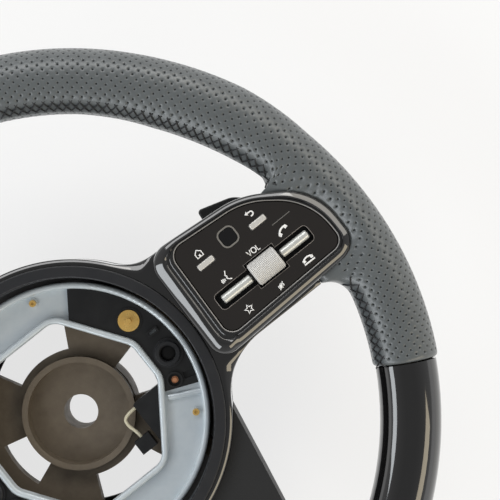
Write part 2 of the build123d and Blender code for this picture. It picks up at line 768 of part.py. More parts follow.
nodes["armature"] = make_armature()
nodes["armature_rim"] = core_run(0)
pair("armature_spoke", cast_arm(side_arm(0)))
pair("armature_leg", cast_arm(leg_arm(0)))
nodes["rim_foam"] = make_foam()
grip, nodes["top_leather"] = make_leather()
pair("grip_leather", grip)
nodes["lower_rim_cover_front"], nodes["lower_rim_cover_rear"] = make_lower_covers()
nodes["front_trim"] = make_front_trim()
nodes["lower_spoke_cover"] = make_leg_cover()
nodes["rear_cover"] = make_rear_cover()
nodes["airbag_surround"] = make_surround()
nodes["airbag_carrier"] = make_carrier()
pair("contact_insert", make_insert())
nodes["horn_contacts"] = group(make_contact())
nodes["guide_bushes"] = group(make_bush())
nodes["terminal_pins"] = group(make_terminal())
carrier_screw = screw(carrier_head_radius, carrier_floor, False, plate_top + 4)
nodes["carrier_screws"] = Compound(children=[
    Pos(*polar(carrier_screw_radius, a)) * carrier_screw for a in carrier_screw_angles])
rear_screw = screw(screw_head_radius, rest_level + 5, True, plate_level + 5)
nodes["rear_cover_screws"] = Compound(children=[
    Pos(*polar(rear_screw_radius, a)) * rear_screw for a in rear_screw_angles])
nodes["control_module"] = make_module()
nodes["module_lead"] = make_lead()
nodes["lead_socket"] = make_socket()
pair("bezel", make_bezel())
pair("control_panel", make_panel())
pair("switch_housing", make_housing())
pair("switch_board", make_board())
pair("home_button", make_key((home_x, key_y)))
pair("back_button", make_key((back_x, key_y)))
pair("trackpad", make_pad())
pair("volume_roller", make_roller())
inner_bar, outer_bar = make_bars()
pair("inner_bar", inner_bar)
pair("outer_bar", outer_bar)
nodes["trackpad_rings"] = group(make_pad_ring())
nodes["roller_axles"] = group(make_axle())
pair("paddle", make_paddle())
pair("paddle_bracket", make_bracket())
nodes["paddle_pins"] = group(make_paddle_pin())

os.makedirs("parts", exist_ok=True)
for name, part in nodes.items():
    export_step(part, "parts/" + name + ".step")
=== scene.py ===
import math

import bmesh
import bpy
import numpy as np
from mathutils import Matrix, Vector


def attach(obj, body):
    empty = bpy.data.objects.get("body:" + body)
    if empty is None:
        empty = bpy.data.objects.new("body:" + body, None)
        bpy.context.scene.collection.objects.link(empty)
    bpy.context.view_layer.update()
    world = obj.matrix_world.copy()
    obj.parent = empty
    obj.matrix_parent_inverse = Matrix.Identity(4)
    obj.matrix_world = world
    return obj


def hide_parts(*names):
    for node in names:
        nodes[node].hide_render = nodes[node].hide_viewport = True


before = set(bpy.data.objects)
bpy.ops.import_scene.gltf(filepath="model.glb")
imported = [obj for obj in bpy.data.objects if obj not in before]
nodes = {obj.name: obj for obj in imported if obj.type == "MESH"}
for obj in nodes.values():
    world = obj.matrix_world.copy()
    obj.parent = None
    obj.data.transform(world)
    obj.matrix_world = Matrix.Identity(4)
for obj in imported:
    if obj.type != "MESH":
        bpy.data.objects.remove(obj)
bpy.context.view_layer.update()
mm = 0.001
sides = ((1, "right"), (-1, "left"))
print("frame loaded:", len(nodes), "nodes")


# small helpers: colours, nodes, meshes

def hexColour(text):  # sRGB hex to linear
    parts = [int(text[i:i + 2], 16) / 255 for i in (1, 3, 5)]
    return [c / 12.92 if c <= 0.04045 else ((c + 0.055) / 1.055) ** 2.4 for c in parts] + [1.0]


def addNode(tree, kind, values=None, links=None, **settings):  # one node with its settings and links
    node = tree.nodes.new(kind)
    for key, value in settings.items():
        setattr(node, key, value)
    for key, value in (values or {}).items():
        node.inputs[key].default_value = value
    for key, socket in (links or {}).items():
        tree.links.new(socket, node.inputs[key])
    return node


def newMaterial(name, **sockets):  # an empty material round one Principled shader
    material = bpy.data.materials.new(name)
    material.use_nodes = True
    tree = material.node_tree
    tree.nodes.clear()
    shader = addNode(tree, "ShaderNodeBsdfPrincipled", sockets)
    addNode(tree, "ShaderNodeOutputMaterial", links={"Surface": shader.outputs[0]})
    return material, tree, shader


def linkObject(name, data):
    piece = bpy.data.objects.new(name, data)
    bpy.context.scene.collection.objects.link(piece)
    return piece


def meshPiece(name, points, faces=(), materials=(), faceMaterial=None, sharp=35, edges=()):  # sharp in degrees
    mesh = bpy.data.meshes.new(name)
    mesh.from_pydata([tuple(p) for p in points], edges, [tuple(f) for f in faces])
    for material in materials:
        mesh.materials.append(material)
    if faceMaterial is not None:
        mesh.polygons.foreach_set("material_index", faceMaterial)
    if len(faces):
        mesh.shade_smooth()
        mesh.set_sharp_from_angle(angle=math.radians(sharp))
    return linkObject(name, mesh)


def loftFaces(rings, count, closed=True, flip=False, first=0):  # quads between rings of count points each
    faces = []
    for r in range(rings if closed else rings - 1):
        low, high = first + r * count, first + (r + 1) % rings * count
        for i in range(count):
            k = (i + 1) % count
            face = (low + i, low + k, high + k, high + i)
            faces.append(face[::-1] if flip else face)
    return faces


def storeValues(piece, key, kind, domain, values):  # a named attribute for the node trees to read
    mark = piece.data.attributes.new(key, kind, domain)
    if kind == "BOOLEAN":
        mark.data.foreach_set("value", values)
    else:
        mark.data.foreach_set("vector", np.array(values, np.float32).ravel())


def evaluatedMesh(piece):  # a plain mesh of what the modifiers or the curve give
    return bpy.data.meshes.new_from_object(piece.evaluated_get(bpy.context.evaluated_depsgraph_get()))


def nodeTree(name, inputs):  # geometry node tree with named inputs
    tree = bpy.data.node_groups.new(name, "GeometryNodeTree")
    tree.interface.new_socket("Geometry", in_out="INPUT", socket_type="NodeSocketGeometry")
    for key, kind in inputs.items():
        tree.interface.new_socket(key, in_out="INPUT", socket_type="NodeSocket" + kind)
    tree.interface.new_socket("Geometry", in_out="OUTPUT", socket_type="NodeSocketGeometry")
    return tree, addNode(tree, "NodeGroupInput").outputs


def endTree(tree, sizes, geometry, materials):  # realises the instances and sets each named material on its faces
    last = addNode(tree, "GeometryNodeRealizeInstances", None, {"Geometry": geometry})
    for key, faces in materials.items():
        links = {"Geometry": last.outputs[0], "Material": sizes[key]}
        last = addNode(tree, "GeometryNodeSetMaterial", None, {**links, "Selection": faces} if faces else links)
    addNode(tree, "NodeGroupOutput", None, {0: last.outputs[0]})


def bakeNodes(piece, tree, values):  # runs a node tree on a piece and keeps the plain mesh
    modifier = piece.modifiers.new("build", "NODES")
    modifier.node_group = tree
    sockets = {s.name: s.identifier for s in tree.interface.items_tree if s.in_out == "INPUT"}
    for key, value in values.items():
        modifier[sockets[key]] = value
    mesh = evaluatedMesh(piece)
    piece.modifiers.remove(modifier)
    piece.data = mesh


# materials

def grainedFinish(name, light, dark, rough, spread, grain, lift, patch, voronoi=False, **sockets):
    # colour drifts over patches, roughness with it, and a fine grain lifts the surface; sizes in mm
    material, tree, shader = newMaterial(name, **sockets)
    place = addNode(tree, "ShaderNodeTexCoord").outputs["Object"]
    drift = addNode(tree, "ShaderNodeTexNoise", {"Scale": 1 / (patch * mm), "Detail": 3.0}, {"Vector": place})
    colour = addNode(tree, "ShaderNodeMix", {6: hexColour(light), 7: hexColour(dark)},
                     {0: drift.outputs[0]}, data_type="RGBA")
    tree.links.new(colour.outputs[2], shader.inputs["Base Color"])
    spreadOver = addNode(tree, "ShaderNodeMapRange", {"From Min": 0.3, "From Max": 0.7, "To Min": rough - spread,
                                                     "To Max": rough + spread}, {"Value": drift.outputs[0]})
    tree.links.new(spreadOver.outputs[0], shader.inputs["Roughness"])
    kind = "ShaderNodeTexVoronoi" if voronoi else "ShaderNodeTexNoise"
    texture = addNode(tree, kind, {"Scale": 1 / (grain * mm)}, {"Vector": place})
    bump = addNode(tree, "ShaderNodeBump", {"Strength": lift, "Distance": 0.1 * mm}, {"Height": texture.outputs[0]})
    tree.links.new(bump.outputs[0], shader.inputs["Normal"])
    return material


leatherCoat = {"Coat Weight": 0.6, "Coat Roughness": 0.24, "Coat IOR": 1.5}
lacquerCoat = {"Coat Weight": 1.0, "Coat Roughness": 0.04, "Coat IOR": 1.55}
finish = {
    # nappa leather, pigmented and clear-finished: cool grey, pressed pebbles, soft gloss on slopes towards the light
    "gripLeather": grainedFinish("grey nappa leather", "#606567", "#4f5456", 0.4, 0.06, 1.1, 0.5, 9, True,
                                 **leatherCoat),
    # the same hide unpunched, over the top: a shade darker
    "topLeather": grainedFinish("grey smooth leather", "#5a5f60", "#4a4f51", 0.4, 0.05, 1.1, 0.55, 9, True,
                                **leatherCoat),
    # punched holes in leather: the hole floors near black with no gloss, painted shade in the holes
    "leatherHoleShade": grainedFinish("painted shade in punched holes", "#0c0c0d", "#141415", 0.85, 0.05, 0.6, 0.4, 2),
    # bonded polyester thread: dark, slightly shiny twist
    "thread": grainedFinish("bonded polyester thread", "#222326", "#151618", 0.5, 0.1, 0.35, 0.8, 1.5),
    # clear-coated ABS, piano black: two smooth layers, near mirror, faint orange peel and handling haze
    "pianoBlack": grainedFinish("clear-coated black ABS", "#060607", "#0a0a0b", 0.07, 0.03, 6, 0.02, 18, IOR=1.52,
                                **lacquerCoat),
    # tinted and hard-coated polycarbonate: a warm brown black, a little duller than the frame round it
    "smokedPanel": grainedFinish("smoked polycarbonate", "#211d1b", "#1b1816", 0.12, 0.03, 6, 0.02, 16, IOR=1.58),
    # chamfer beside the panel and rim of the slot: thin bright lines, dulled a little; their pale colour is a painted
    # highlight of the light the glossy edges catch
    "chamferHighlight": grainedFinish("painted highlight on bezel chamfer", "#a3a19e", "#8d8b88", 0.3, 0.05, 1.5, 0.05, 6, Metallic=0.4),
    "slotRimHighlight": grainedFinish("painted highlight on slot rim", "#8b8580", "#77716d", 0.35, 0.05, 1.5, 0.05, 6, Metallic=0.4),
    # polished ABS of the touch pad and satin ABS of the paddles: a clear black mirror, and a dark grey sheen
    "padGloss": grainedFinish("polished touch pad ABS", "#08080a", "#0d0d0f", 0.12, 0.03, 4, 0.03, 6),
    "paddleGloss": grainedFinish("satin dark grey ABS", "#26272a", "#1b1c1e", 0.3, 0.06, 0.8, 0.3, 9),
    # textured PP: charcoal, spark-eroded grain drawn at 0.8 mm so that it shows
    "mattBlack": grainedFinish("spark-grained black PP", "#1a1b1d", "#131416", 0.6, 0.06, 0.8, 0.5, 12, True),
    # soft-touch TPO: even charcoal with a silky sheen
    "softBlack": grainedFinish("soft-touch black TPO", "#1f2024", "#191a1d", 0.45, 0.06, 0.9, 0.35, 10, True),
    # glass-filled nylon: near black, cloudy from its fibres; acetal: dark grey and waxy
    "nylonBlack": grainedFinish("glass-filled black nylon", "#141517", "#0c0d0e", 0.42, 0.08, 0.9, 0.35, 6),
    "bushGrey": grainedFinish("dark grey acetal", "#222326", "#1a1b1d", 0.38, 0.06, 1.0, 0.25, 6),
    # moulded polyurethane foam: dull black skin with fine cells
    "foam": grainedFinish("black polyurethane foam", "#101011", "#0a0a0b", 0.8, 0.06, 1.2, 0.6, 8),
    # pressed and galvanised steel: bright, bluish, cloudy
    "carrierMetal": grainedFinish("galvanised pressed steel", "#dbe2e6", "#bfcad1", 0.36, 0.08, 2.4, 0.15, 7,
                                  Metallic=0.25),
    # yellow passivated zinc and coppered steel: warm metals, cloudy from handling
    "contactGold": grainedFinish("yellow passivated zinc", "#f2cd7e", "#d8ab57", 0.3, 0.08, 1.2, 0.2, 3, Metallic=0.45),
    "copperPin": grainedFinish("coppered steel", "#e0a37c", "#b9794f", 0.35, 0.08, 1.0, 0.2, 3, Metallic=0.5),
    # magnesium die casting with a tan conversion coat: dull, sandy skin
    "castAlloy": grainedFinish("coated magnesium casting", "#7f7465", "#63594c", 0.55, 0.1, 1.4, 0.6, 7, Metallic=0.3),
    # galvanised ABS, satin silver: soft metal, no grain to speak of
    "satinSilver": grainedFinish("satin galvanised ABS", "#e4e2dd", "#d3d0ca", 0.28, 0.05, 1.6, 0.05, 5, Metallic=0.3),
    # knurled aluminium: pale satin studs; the grooves rougher and a darker grey, painted shade in the grooves
    "rollerMetal": grainedFinish("knurled satin aluminium", "#f6f6f4", "#ecebe8", 0.4, 0.06, 1.2, 0.08, 3),
    "rollerGrooveShade": grainedFinish("knurl groove with painted shade", "#dcdbd8", "#cac8c5", 0.6, 0.06, 0.6, 0.2, 2),
    # brushed and lacquered ring of the touch pad, and the polished rocker bars: soft metal, broad highlights
    "padRing": grainedFinish("brushed lacquered ring", "#98958f", "#7d7a75", 0.35, 0.06, 0.9, 0.1, 3, Metallic=0.4),
    "barMetal": grainedFinish("polished galvanised ABS", "#e4e5e1", "#d0d2ce", 0.36, 0.05, 1.8, 0.05, 5, Metallic=0.5),
    # black zinc on steel: dark metal with soft highlights
    "darkScrew": grainedFinish("black zinc steel", "#3a3a3c", "#28282a", 0.38, 0.08, 1.0, 0.2, 3, Metallic=1.0),
    # solder mask and extruded PVC: an even deep green, and a waxy cream
    "boardGreen": grainedFinish("solder mask on board", "#15452a", "#0f3620", 0.35, 0.05, 2, 0.1, 6),
    "leadCream": grainedFinish("cream PVC insulation", "#ddd6bd", "#cbc3a8", 0.45, 0.05, 1.2, 0.15, 4),
    # screen-printed ink: flat, a little chalky
    "printWhite": grainedFinish("white screen ink", "#ffffff", "#f1f1ee", 0.6, 0.05, 0.7, 0.1, 2),
    "printGrey": grainedFinish("grey screen ink", "#6f6d6b", "#605e5c", 0.5, 0.05, 0.7, 0.1, 2),
}
finishedNodes = {  # nodes without their _right or _left
    "castAlloy": ("armature", "armature_rim", "armature_spoke", "armature_leg"), "foam": ("rim_foam",),
    "pianoBlack": ("lower_rim_cover_front", "lower_rim_cover_rear", "front_trim", "bezel"),
    "mattBlack": ("lower_spoke_cover", "rear_cover", "paddle_bracket"), "softBlack": ("airbag_surround",),
    "nylonBlack": ("contact_insert", "control_module", "lead_socket", "switch_housing"),
    "carrierMetal": ("airbag_carrier",), "contactGold": ("horn_contacts", "carrier_screws"),
    "bushGrey": ("guide_bushes",), "copperPin": ("terminal_pins",), "leadCream": ("module_lead",),
    "darkScrew": ("rear_cover_screws", "roller_axles", "paddle_pins"), "smokedPanel": ("control_panel",),
    "boardGreen": ("switch_board",), "satinSilver": ("home_button", "back_button"), "padGloss": ("trackpad",),
    "padRing": ("trackpad_rings",), "rollerMetal": ("volume_roller",), "barMetal": ("inner_bar", "outer_bar"),
    "paddleGloss": ("paddle",), "gripLeather": ("grip_leather",), "topLeather": ("top_leather",),
}
nodeFinish = {name: key for key, names in finishedNodes.items() for name in names}
for name, node in nodes.items():
    key = name[:name.rindex("_")] if name.endswith(("_right", "_left")) else name
    node.data.materials.clear()
    node.data.materials.append(finish[nodeFinish[key]])
print("materials made:", len(finish))


# plan outlines shared by the pod pieces and the leather round them, mm

def arcBetween(centre, radius, first, last, steps):  # the shorter arc from one point to the other
    a0, a1 = (math.atan2(*(p - centre)[::-1]) for p in (first, last))
    turn = (a1 - a0 + math.pi) % (2 * math.pi) - math.pi
    return [centre + radius * np.array([math.cos(a0 + turn * k / steps), math.sin(a0 + turn * k / steps)])
            for k in range(steps + 1)]


def roundedLoop(corners, radii, arcSteps=14, edgeSteps=10):
    points, count = [], len(corners)
    starts, ends = [], []
    for i in range(count):
        here, back, ahead = (np.array(corners[k % count], float) for k in (i, i - 1, i + 1))
        toBack, toAhead = ((p - here) / np.linalg.norm(p - here) for p in (back, ahead))
        half = math.acos(np.clip(toBack @ toAhead, -1, 1)) / 2
        middle = here + (toBack + toAhead) / np.linalg.norm(toBack + toAhead) * radii[i] / math.sin(half)
        first, last = (here + way * radii[i] / math.tan(half) for way in (toBack, toAhead))
        starts.append(len(points))
        points += arcBetween(middle, radii[i], first, last, arcSteps)
        ends.append(len(points) - 1)
        points += [None] * (edgeSteps - 1)
    for i in range(count):
        a, b = points[ends[i]], points[starts[(i + 1) % count]]
        for k in range(1, edgeSteps):
            points[ends[i] + k] = a + (b - a) * k / edgeSteps
    return np.array(points)


panelOutline = {"corners": [(90.3, 35.2), (134.7, 31.4), (160.5, 12.0), (160.5, -14.1), (88.4, -16.0)],
                "radii": (7, 38, 33, 6, 6)}
bezelOutline = {"corners": [(78.4, 40.6), (133.8, 35.7), (166.0, 15.8), (166.0, -20.3), (76.9, -23.8)],
                "radii": (11, 45, 31, 11, 9)}
panelLoop = roundedLoop(**panelOutline)
bezelLoop = roundedLoop(**bezelOutline)


def outsideDistance(x, y, loop):  # signed distance to a closed outline, negative inside
    ax, ay = loop[:, 0], loop[:, 1]
    bx, by = np.roll(ax, -1), np.roll(ay, -1)
    px, py = x.reshape(-1, 1), y.reshape(-1, 1)
    t = np.clip(((px - ax) * (bx - ax) + (py - ay) * (by - ay)) / ((bx - ax) ** 2 + (by - ay) ** 2 + 1e-12), 0, 1)
    gap = np.sqrt((px - ax - t * (bx - ax)) ** 2 + (py - ay - t * (by - ay)) ** 2).min(1)
    crosses = ((ay > py) != (by > py)) & (px < (bx - ax) * (py - ay) / (by - ay + 1e-12) + ax)
    return np.where(crosses.sum(1) % 2 == 1, -gap, gap).reshape(x.shape)


# rim leather: a grid round the oval section, drawn in over the spoke root and tucked under the pod's bezel; mm, degrees

rim = {"radius": 169.0, "halfWidth": 16.5, "halfDepth": 15.0, "level": 62.0, "seamAngle": 146.0, "rows": 41,
       "cell": 2.4, "endRound": ((0.0, 1.7), (0.35, 0.8), (0.9, 0.3), (1.8, 0.05)),  # way from the end, inset
       "holeSize": 0.46, "holeDepth": 0.9, "holeTaper": 0.75, "dimple": 0.2, "plainRows": 2,  # no holes by the seam
       "pucker": ((-0.6, -0.6), (-0.35, 0.3), (0.0, 0.15)), "puckerUpTo": 0.05,  # rows from the seam, share of the root
       # under the bezel: where the tuck starts, its level, a gentle and a steep drop, and how far in the holes go on
       "tuckReach": 9.0, "tuckLevel": 73.4, "tuckGentle": 3.0, "tuckSteep": 4.0, "tuckSteepFor": 3.0, "tuckShown": 1.5,
       # how far the hide bulges at these angles
       "swellAngles": (-30, 0, 12, 16, 20, 24, 30, 36, 42, 50),
       "swellOuter": (0, -0.4, -0.4, 0.3, 0.8, 1.1, 0.6, 0.2, 0, 0),
       "swellInner": (0, 0, -1.2, -0.9, 0, 0.6, 1.2, 1.4, 0.7, 0)}
root = {"end": 139.8, "first": 3.0, "drawnIn": 8.0, "bendSteps": 12, "ringSteps": 20,
        "upper": {"edge": 29.6, "blend": 3.0, "last": 24.0, "swell": 1},
        "lower": {"edge": 23.8, "blend": 11.5, "last": 22.0, "swell": 0}}
rimInner = rim["radius"] - rim["halfWidth"]


def lengthAlong(points):  # running length of a path
    return np.concatenate([[0], np.cumsum(np.linalg.norm(np.diff(points, axis=0), axis=1))])


def sectionAngles(count, samples=4001):  # equal steps of length round the oval, starting at the seam
    fine = np.radians(rim["seamAngle"]) - np.linspace(0, 2 * np.pi, samples)
    length = lengthAlong(np.stack([rim["halfWidth"] * np.cos(fine), rim["halfDepth"] * np.sin(fine)], 1))
    return np.interp(np.linspace(0, length[-1], count + 1), length, fine)


def swollen(angle, where):  # how far the hide bulges at an angle in radians
    return np.interp(math.degrees(angle), rim["swellAngles"], rim[where])


def rootOutline(edge, blend, last, swell):  # inner edge of the hide in plan: spoke end, root edge, bend, rim
    cy = edge + blend
    cx = math.sqrt((rimInner - blend) ** 2 - cy ** 2)
    first = -math.acos(min(1.0, max(0.0, (root["end"] - cx) / blend)))  # the bend starts on the root's end or beyond
    bend = np.linspace(first, math.atan2(cy, cx), root["bendSteps"])
    ringTurn = np.linspace(math.atan2(cy, cx), math.radians(last), root["ringSteps"])[1:]
    points = [(root["end"], root["end"] * math.tan(math.radians(root["first"]))),
              (root["end"], cy + blend * math.sin(first))]
    points += [(cx + blend * math.cos(t), cy + blend * math.sin(t)) for t in bend]
    for t in ringTurn:
        radius = rimInner - swell * swollen(t, "swellInner")
        points.append((radius * math.cos(t), radius * math.sin(t)))
    points = np.array(points)
    length = lengthAlong(points)
    return points, length / length[-1]


rootEdges = {key: rootOutline(**root[key]) for key in ("upper", "lower")}


def innerEdge(angle):  # where a column of the hide ends on the inner side, in plan
    way = np.array([math.cos(angle), math.sin(angle)])
    key = "upper" if angle > 0 else "lower"
    share = (abs(math.degrees(angle)) - root["first"]) / (root[key]["last"] - root["first"])
    if share >= 1:
        return way * (rimInner - swollen(angle, "swellInner"))
    if share <= 0:
        return way * root["end"] / way[0]
    points, length = rootEdges[key]
    x, y = (np.interp(share, length, points[:, k]) for k in (0, 1))
    return np.array([x, math.copysign(y, angle)])


# section of the root from the rim's crest inwards: share of the turn, of the reach, and height of both faces
tongue = {"turn": (0, 0.2, 0.4, 0.6, 0.75, 0.87, 1.0), "reach": (0, 0.30, 0.58, 0.86, 0.97, 1.0, 1.0),
          "front": (77.0, 75.0, 72.3, 71.0, 69.3, 65.0, 60.0), "back": (47.0, 48.6, 49.2, 49.0, 50.7, 55.0, 60.0)}


def rootShare(angle):  # how far a column has left the rim for the spoke root, 0 to 1
    return min(1.0, max(0.0, (rimInner - np.linalg.norm(innerEdge(angle))) / root["drawnIn"]))


def leatherPoint(angle, turn, inset):  # one point of the hide, mm, before the tuck
    way = np.array([math.cos(angle), math.sin(angle)])
    across, height = math.cos(turn), rim["level"] + (rim["halfDepth"] - inset) * math.sin(turn)
    if across >= 0:
        wide = rim["halfWidth"] + swollen(angle, "swellOuter") - inset
        return np.array([*(way * (rim["radius"] + wide * across)), height])
    crest, edge = way * rim["radius"], innerEdge(angle)
    q = math.asin(-across) / (math.pi / 2)
    share = rootShare(angle)
    reach = -across * (1 - inset / rim["halfWidth"])
    reach += (np.interp(q, tongue["turn"], tongue["reach"]) - reach) * share
    height += (np.interp(q, tongue["turn"], tongue["front" if math.sin(turn) >= 0 else "back"]) - height) * share
    return np.array([*(crest + (edge - crest) * reach), height])


def leatherGrid(start, end):  # angles of the columns with their inset at both ends, degrees
    cells = 2 * round(math.radians(end - start) * rim["radius"] / rim["cell"] / 2)
    columns = [(start + (end - start) * k / cells, 0.0) for k in range(1, cells)]
    low = [(start + math.degrees(a / rim["radius"]), inset) for a, inset in rim["endRound"]]
    high = [(end - math.degrees(a / rim["radius"]), inset) for a, inset in reversed(rim["endRound"])]
    return low + columns + high, len(low)


def leatherPiece(name, start, end, side, perforated, materials):
    columns, first = leatherGrid(start, end)
    rows, turns = rim["rows"], sectionAngles(rim["rows"])[:-1]
    grid = np.array([[leatherPoint(math.radians(a), t, inset) for t in turns] for a, inset in columns])
    x, y, z = grid[:, :, 0], grid[:, :, 1], grid[:, :, 2]
    fromSeam = np.minimum(np.arange(rows), rows - np.arange(rows))
    for i, angle in enumerate(np.radians([a for a, inset in columns])):
        if rootShare(angle) >= rim["puckerUpTo"]:
            continue
        for j in np.flatnonzero(fromSeam < len(rim["pucker"])):  # puckers between the stitches, dips along the seam
            lift = rim["pucker"][fromSeam[j]][(i - first) % 2]
            out = np.array([math.cos(turns[j]) / rim["halfWidth"], math.sin(turns[j]) / rim["halfDepth"]])
            out = out / np.linalg.norm(out) * lift
            grid[i, j] += (out[0] * math.cos(angle), out[0] * math.sin(angle), out[1])
    gap = outsideDistance(x, y, bezelLoop)
    near = np.clip(gap / rim["tuckReach"], 0, 1)
    ease = near * near * (3 - 2 * near)
    inside = np.maximum(-gap, 0)
    limit = rim["tuckLevel"] - np.minimum(inside, rim["tuckGentle"])
    limit -= rim["tuckSteep"] * np.clip(inside - rim["tuckGentle"], 0, rim["tuckSteepFor"])
    front = z > rim["level"]
    tucked = np.where(gap < 0, limit, limit + (z - limit) * ease)
    z = np.where(front & (z > limit), tucked, z)
    points = np.stack([x * side, y, z], -1).reshape(-1, 3) * mm
    picked = []
    for i in range(len(columns) - 1):
        for j in range(rows):
            corner = [(a, b) for a in (i, i + 1) for b in (j, (j + 1) % rows)]
            shown = all(gap[c] > -rim["tuckShown"] for c in corner) or not front[i, j]
            inCells = first <= i < len(columns) - 1 - first and rim["plainRows"] <= j < rows - rim["plainRows"]
            picked.append(perforated and inCells and (i - first + j) % 2 == 0 and shown)
    piece = meshPiece(name, points, loftFaces(len(columns), rows, False, side < 0), materials)
    storeValues(piece, "picked", "BOOLEAN", "FACE", picked)
    return piece


# punches or raises the picked faces of a grid: inset, move along the normal, inset again
punchTree, sizes = nodeTree("punch picked faces", {
    "Inset": "Float", "Dimple": "Float", "Move": "Float", "Taper": "Float", "Levels": "Int", "Skin": "Material",
    "Floor": "Material"})
pickedFaces = addNode(punchTree, "GeometryNodeInputNamedAttribute", {"Name": "picked"}, data_type="BOOLEAN")
rimLoop = addNode(punchTree, "GeometryNodeExtrudeMesh", {"Individual": True}, {
    "Mesh": sizes["Geometry"], "Selection": pickedFaces.outputs[0], "Offset Scale": sizes["Dimple"]})
rimScale = addNode(punchTree, "GeometryNodeScaleElements", None, {
    "Geometry": rimLoop.outputs["Mesh"], "Selection": rimLoop.outputs["Top"], "Scale": sizes["Inset"]})
pushed = addNode(punchTree, "GeometryNodeExtrudeMesh", {"Individual": True}, {
    "Mesh": rimScale.outputs[0], "Selection": rimLoop.outputs["Top"], "Offset Scale": sizes["Move"]})
floorScale = addNode(punchTree, "GeometryNodeScaleElements", None, {
    "Geometry": pushed.outputs["Mesh"], "Selection": pushed.outputs["Top"], "Scale": sizes["Taper"]})
smoothed = addNode(punchTree, "GeometryNodeSubdivisionSurface", None, {
    "Mesh": floorScale.outputs[0], "Level": sizes["Levels"]})
shaded = addNode(punchTree, "GeometryNodeSetShadeSmooth", None, {"Geometry": smoothed.outputs[0]})
endTree(punchTree, sizes, shaded.outputs[0], {"Skin": None, "Floor": pushed.outputs["Top"]})

hides = {"gripLow": -28.4, "gripHigh": 65.9, "topLow": 66.1, "topHigh": 113.9, "gripLevels": 1, "topLevels": 2}
for side, label in sides:
    hide = leatherPiece("gripLeather." + label, hides["gripLow"], hides["gripHigh"], side, True,
                        [finish["gripLeather"], finish["leatherHoleShade"]])
    # the floors of the holes get the near-black painted shade
    bakeNodes(hide, punchTree, {"Inset": rim["holeSize"], "Dimple": -rim["dimple"] * mm, "Move": -rim["holeDepth"] * mm,
                                "Taper": rim["holeTaper"], "Levels": hides["gripLevels"],
                                "Skin": finish["gripLeather"], "Floor": finish["leatherHoleShade"]})
    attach(hide, "wheel")
    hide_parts("grip_leather_" + label, *(["rim_foam"] if side > 0 else []))
hide = leatherPiece("topLeather", hides["topLow"], hides["topHigh"], 1, False, [finish["topLeather"]])
bakeNodes(hide, punchTree, {"Inset": 1.0, "Dimple": 0.0, "Move": 0.0, "Taper": 1.0, "Levels": hides["topLevels"],
                            "Skin": finish["topLeather"], "Floor": finish["topLeather"]})
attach(hide, "wheel")
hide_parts("top_leather")
print("leather wrapped")


# lacing: crossed threads over the seam on the rim's inner side; mm, and the two angles in radians

lacing = {"thread": 0.36, "halfAlong": 3.0, "halfAcross": 4.0, "crown": 1.8, "sink": 0.25, "inset": 0.55, "steps": 6,
          "rootShare": 0.35, "rootAngle": 0.4, "ahead": 0.004}  # no stitches where the hide has left the rim
laceTree, sizes = nodeTree("lacing", {"Thread": "Float", "Along": "Float", "Across": "Float", "Crown": "Float",
                                      "Sink": "Float", "Material": "Material"})
threads = addNode(laceTree, "GeometryNodeJoinGeometry")
for sign in (1, -1):
    ends = []
    for end in (-1, 1):
        spots = {axis: addNode(laceTree, "ShaderNodeMath", {1: share}, {0: sizes[key]}, operation="MULTIPLY").outputs[0]
                 for axis, key, share in (("X", "Along", end * sign), ("Y", "Across", end), ("Z", "Sink", -1))}
        ends.append(addNode(laceTree, "ShaderNodeCombineXYZ", None, spots))
    top = addNode(laceTree, "ShaderNodeCombineXYZ", None, {"Z": sizes["Crown"]})
    arc = addNode(laceTree, "GeometryNodeCurveQuadraticBezier", {"Resolution": lacing["steps"]}, {
        "Start": ends[0].outputs[0], "Middle": top.outputs[0], "End": ends[1].outputs[0]})
    laceTree.links.new(arc.outputs[0], threads.inputs[0])
section = addNode(laceTree, "GeometryNodeCurvePrimitiveCircle", {"Resolution": lacing["steps"]},
                  {"Radius": sizes["Thread"]})
stitch = addNode(laceTree, "GeometryNodeCurveToMesh", {"Fill Caps": True}, {
    "Curve": threads.outputs[0], "Profile Curve": section.outputs[0]})
shaded = addNode(laceTree, "GeometryNodeSetShadeSmooth", None, {"Geometry": stitch.outputs[0]})
outward, forward = (addNode(laceTree, "GeometryNodeInputNamedAttribute", {"Name": name}, data_type="FLOAT_VECTOR")
                    for name in ("outward", "forward"))
aligned = addNode(laceTree, "FunctionNodeAxesToRotation", None, {
    "Primary Axis": outward.outputs[0], "Secondary Axis": forward.outputs[0]}, primary_axis="Z", secondary_axis="X")
placed = addNode(laceTree, "GeometryNodeInstanceOnPoints", None, {
    "Points": sizes["Geometry"], "Instance": shaded.outputs[0], "Rotation": aligned.outputs[0]})
endTree(laceTree, sizes, placed.outputs[0], {"Material": None})


def laceUp(name, start, end, side):
    columns, first = leatherGrid(start, end)
    seam = math.radians(rim["seamAngle"])
    points, outs, runs = [], [], []
    for k in range(first, len(columns) - first - 1, 2):
        a = math.radians(columns[k][0])
        if rootShare(a) > lacing["rootShare"] and abs(a) < lacing["rootAngle"]:
            continue
        here, there = (leatherPoint(b, seam, lacing["inset"]) * (side, 1, 1) for b in (a, a + lacing["ahead"]))
        run = (there - here) / np.linalg.norm(there - here)
        out = np.array([math.cos(seam) / rim["halfWidth"] * math.cos(a) * side,
                        math.cos(seam) / rim["halfWidth"] * math.sin(a), math.sin(seam) / rim["halfDepth"]])
        out -= run * (out @ run)
        points.append(here * mm)
        outs.append(out / np.linalg.norm(out))
        runs.append(run)
    piece = meshPiece(name, points)
    storeValues(piece, "outward", "FLOAT_VECTOR", "POINT", outs)
    storeValues(piece, "forward", "FLOAT_VECTOR", "POINT", runs)
    bakeNodes(piece, laceTree, {"Thread": lacing["thread"] * mm, "Along": lacing["halfAlong"] * mm,
                                "Across": lacing["halfAcross"] * mm, "Crown": lacing["crown"] * mm,
                                "Sink": lacing["sink"] * mm, "Material": finish["thread"]})
    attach(piece, "wheel")


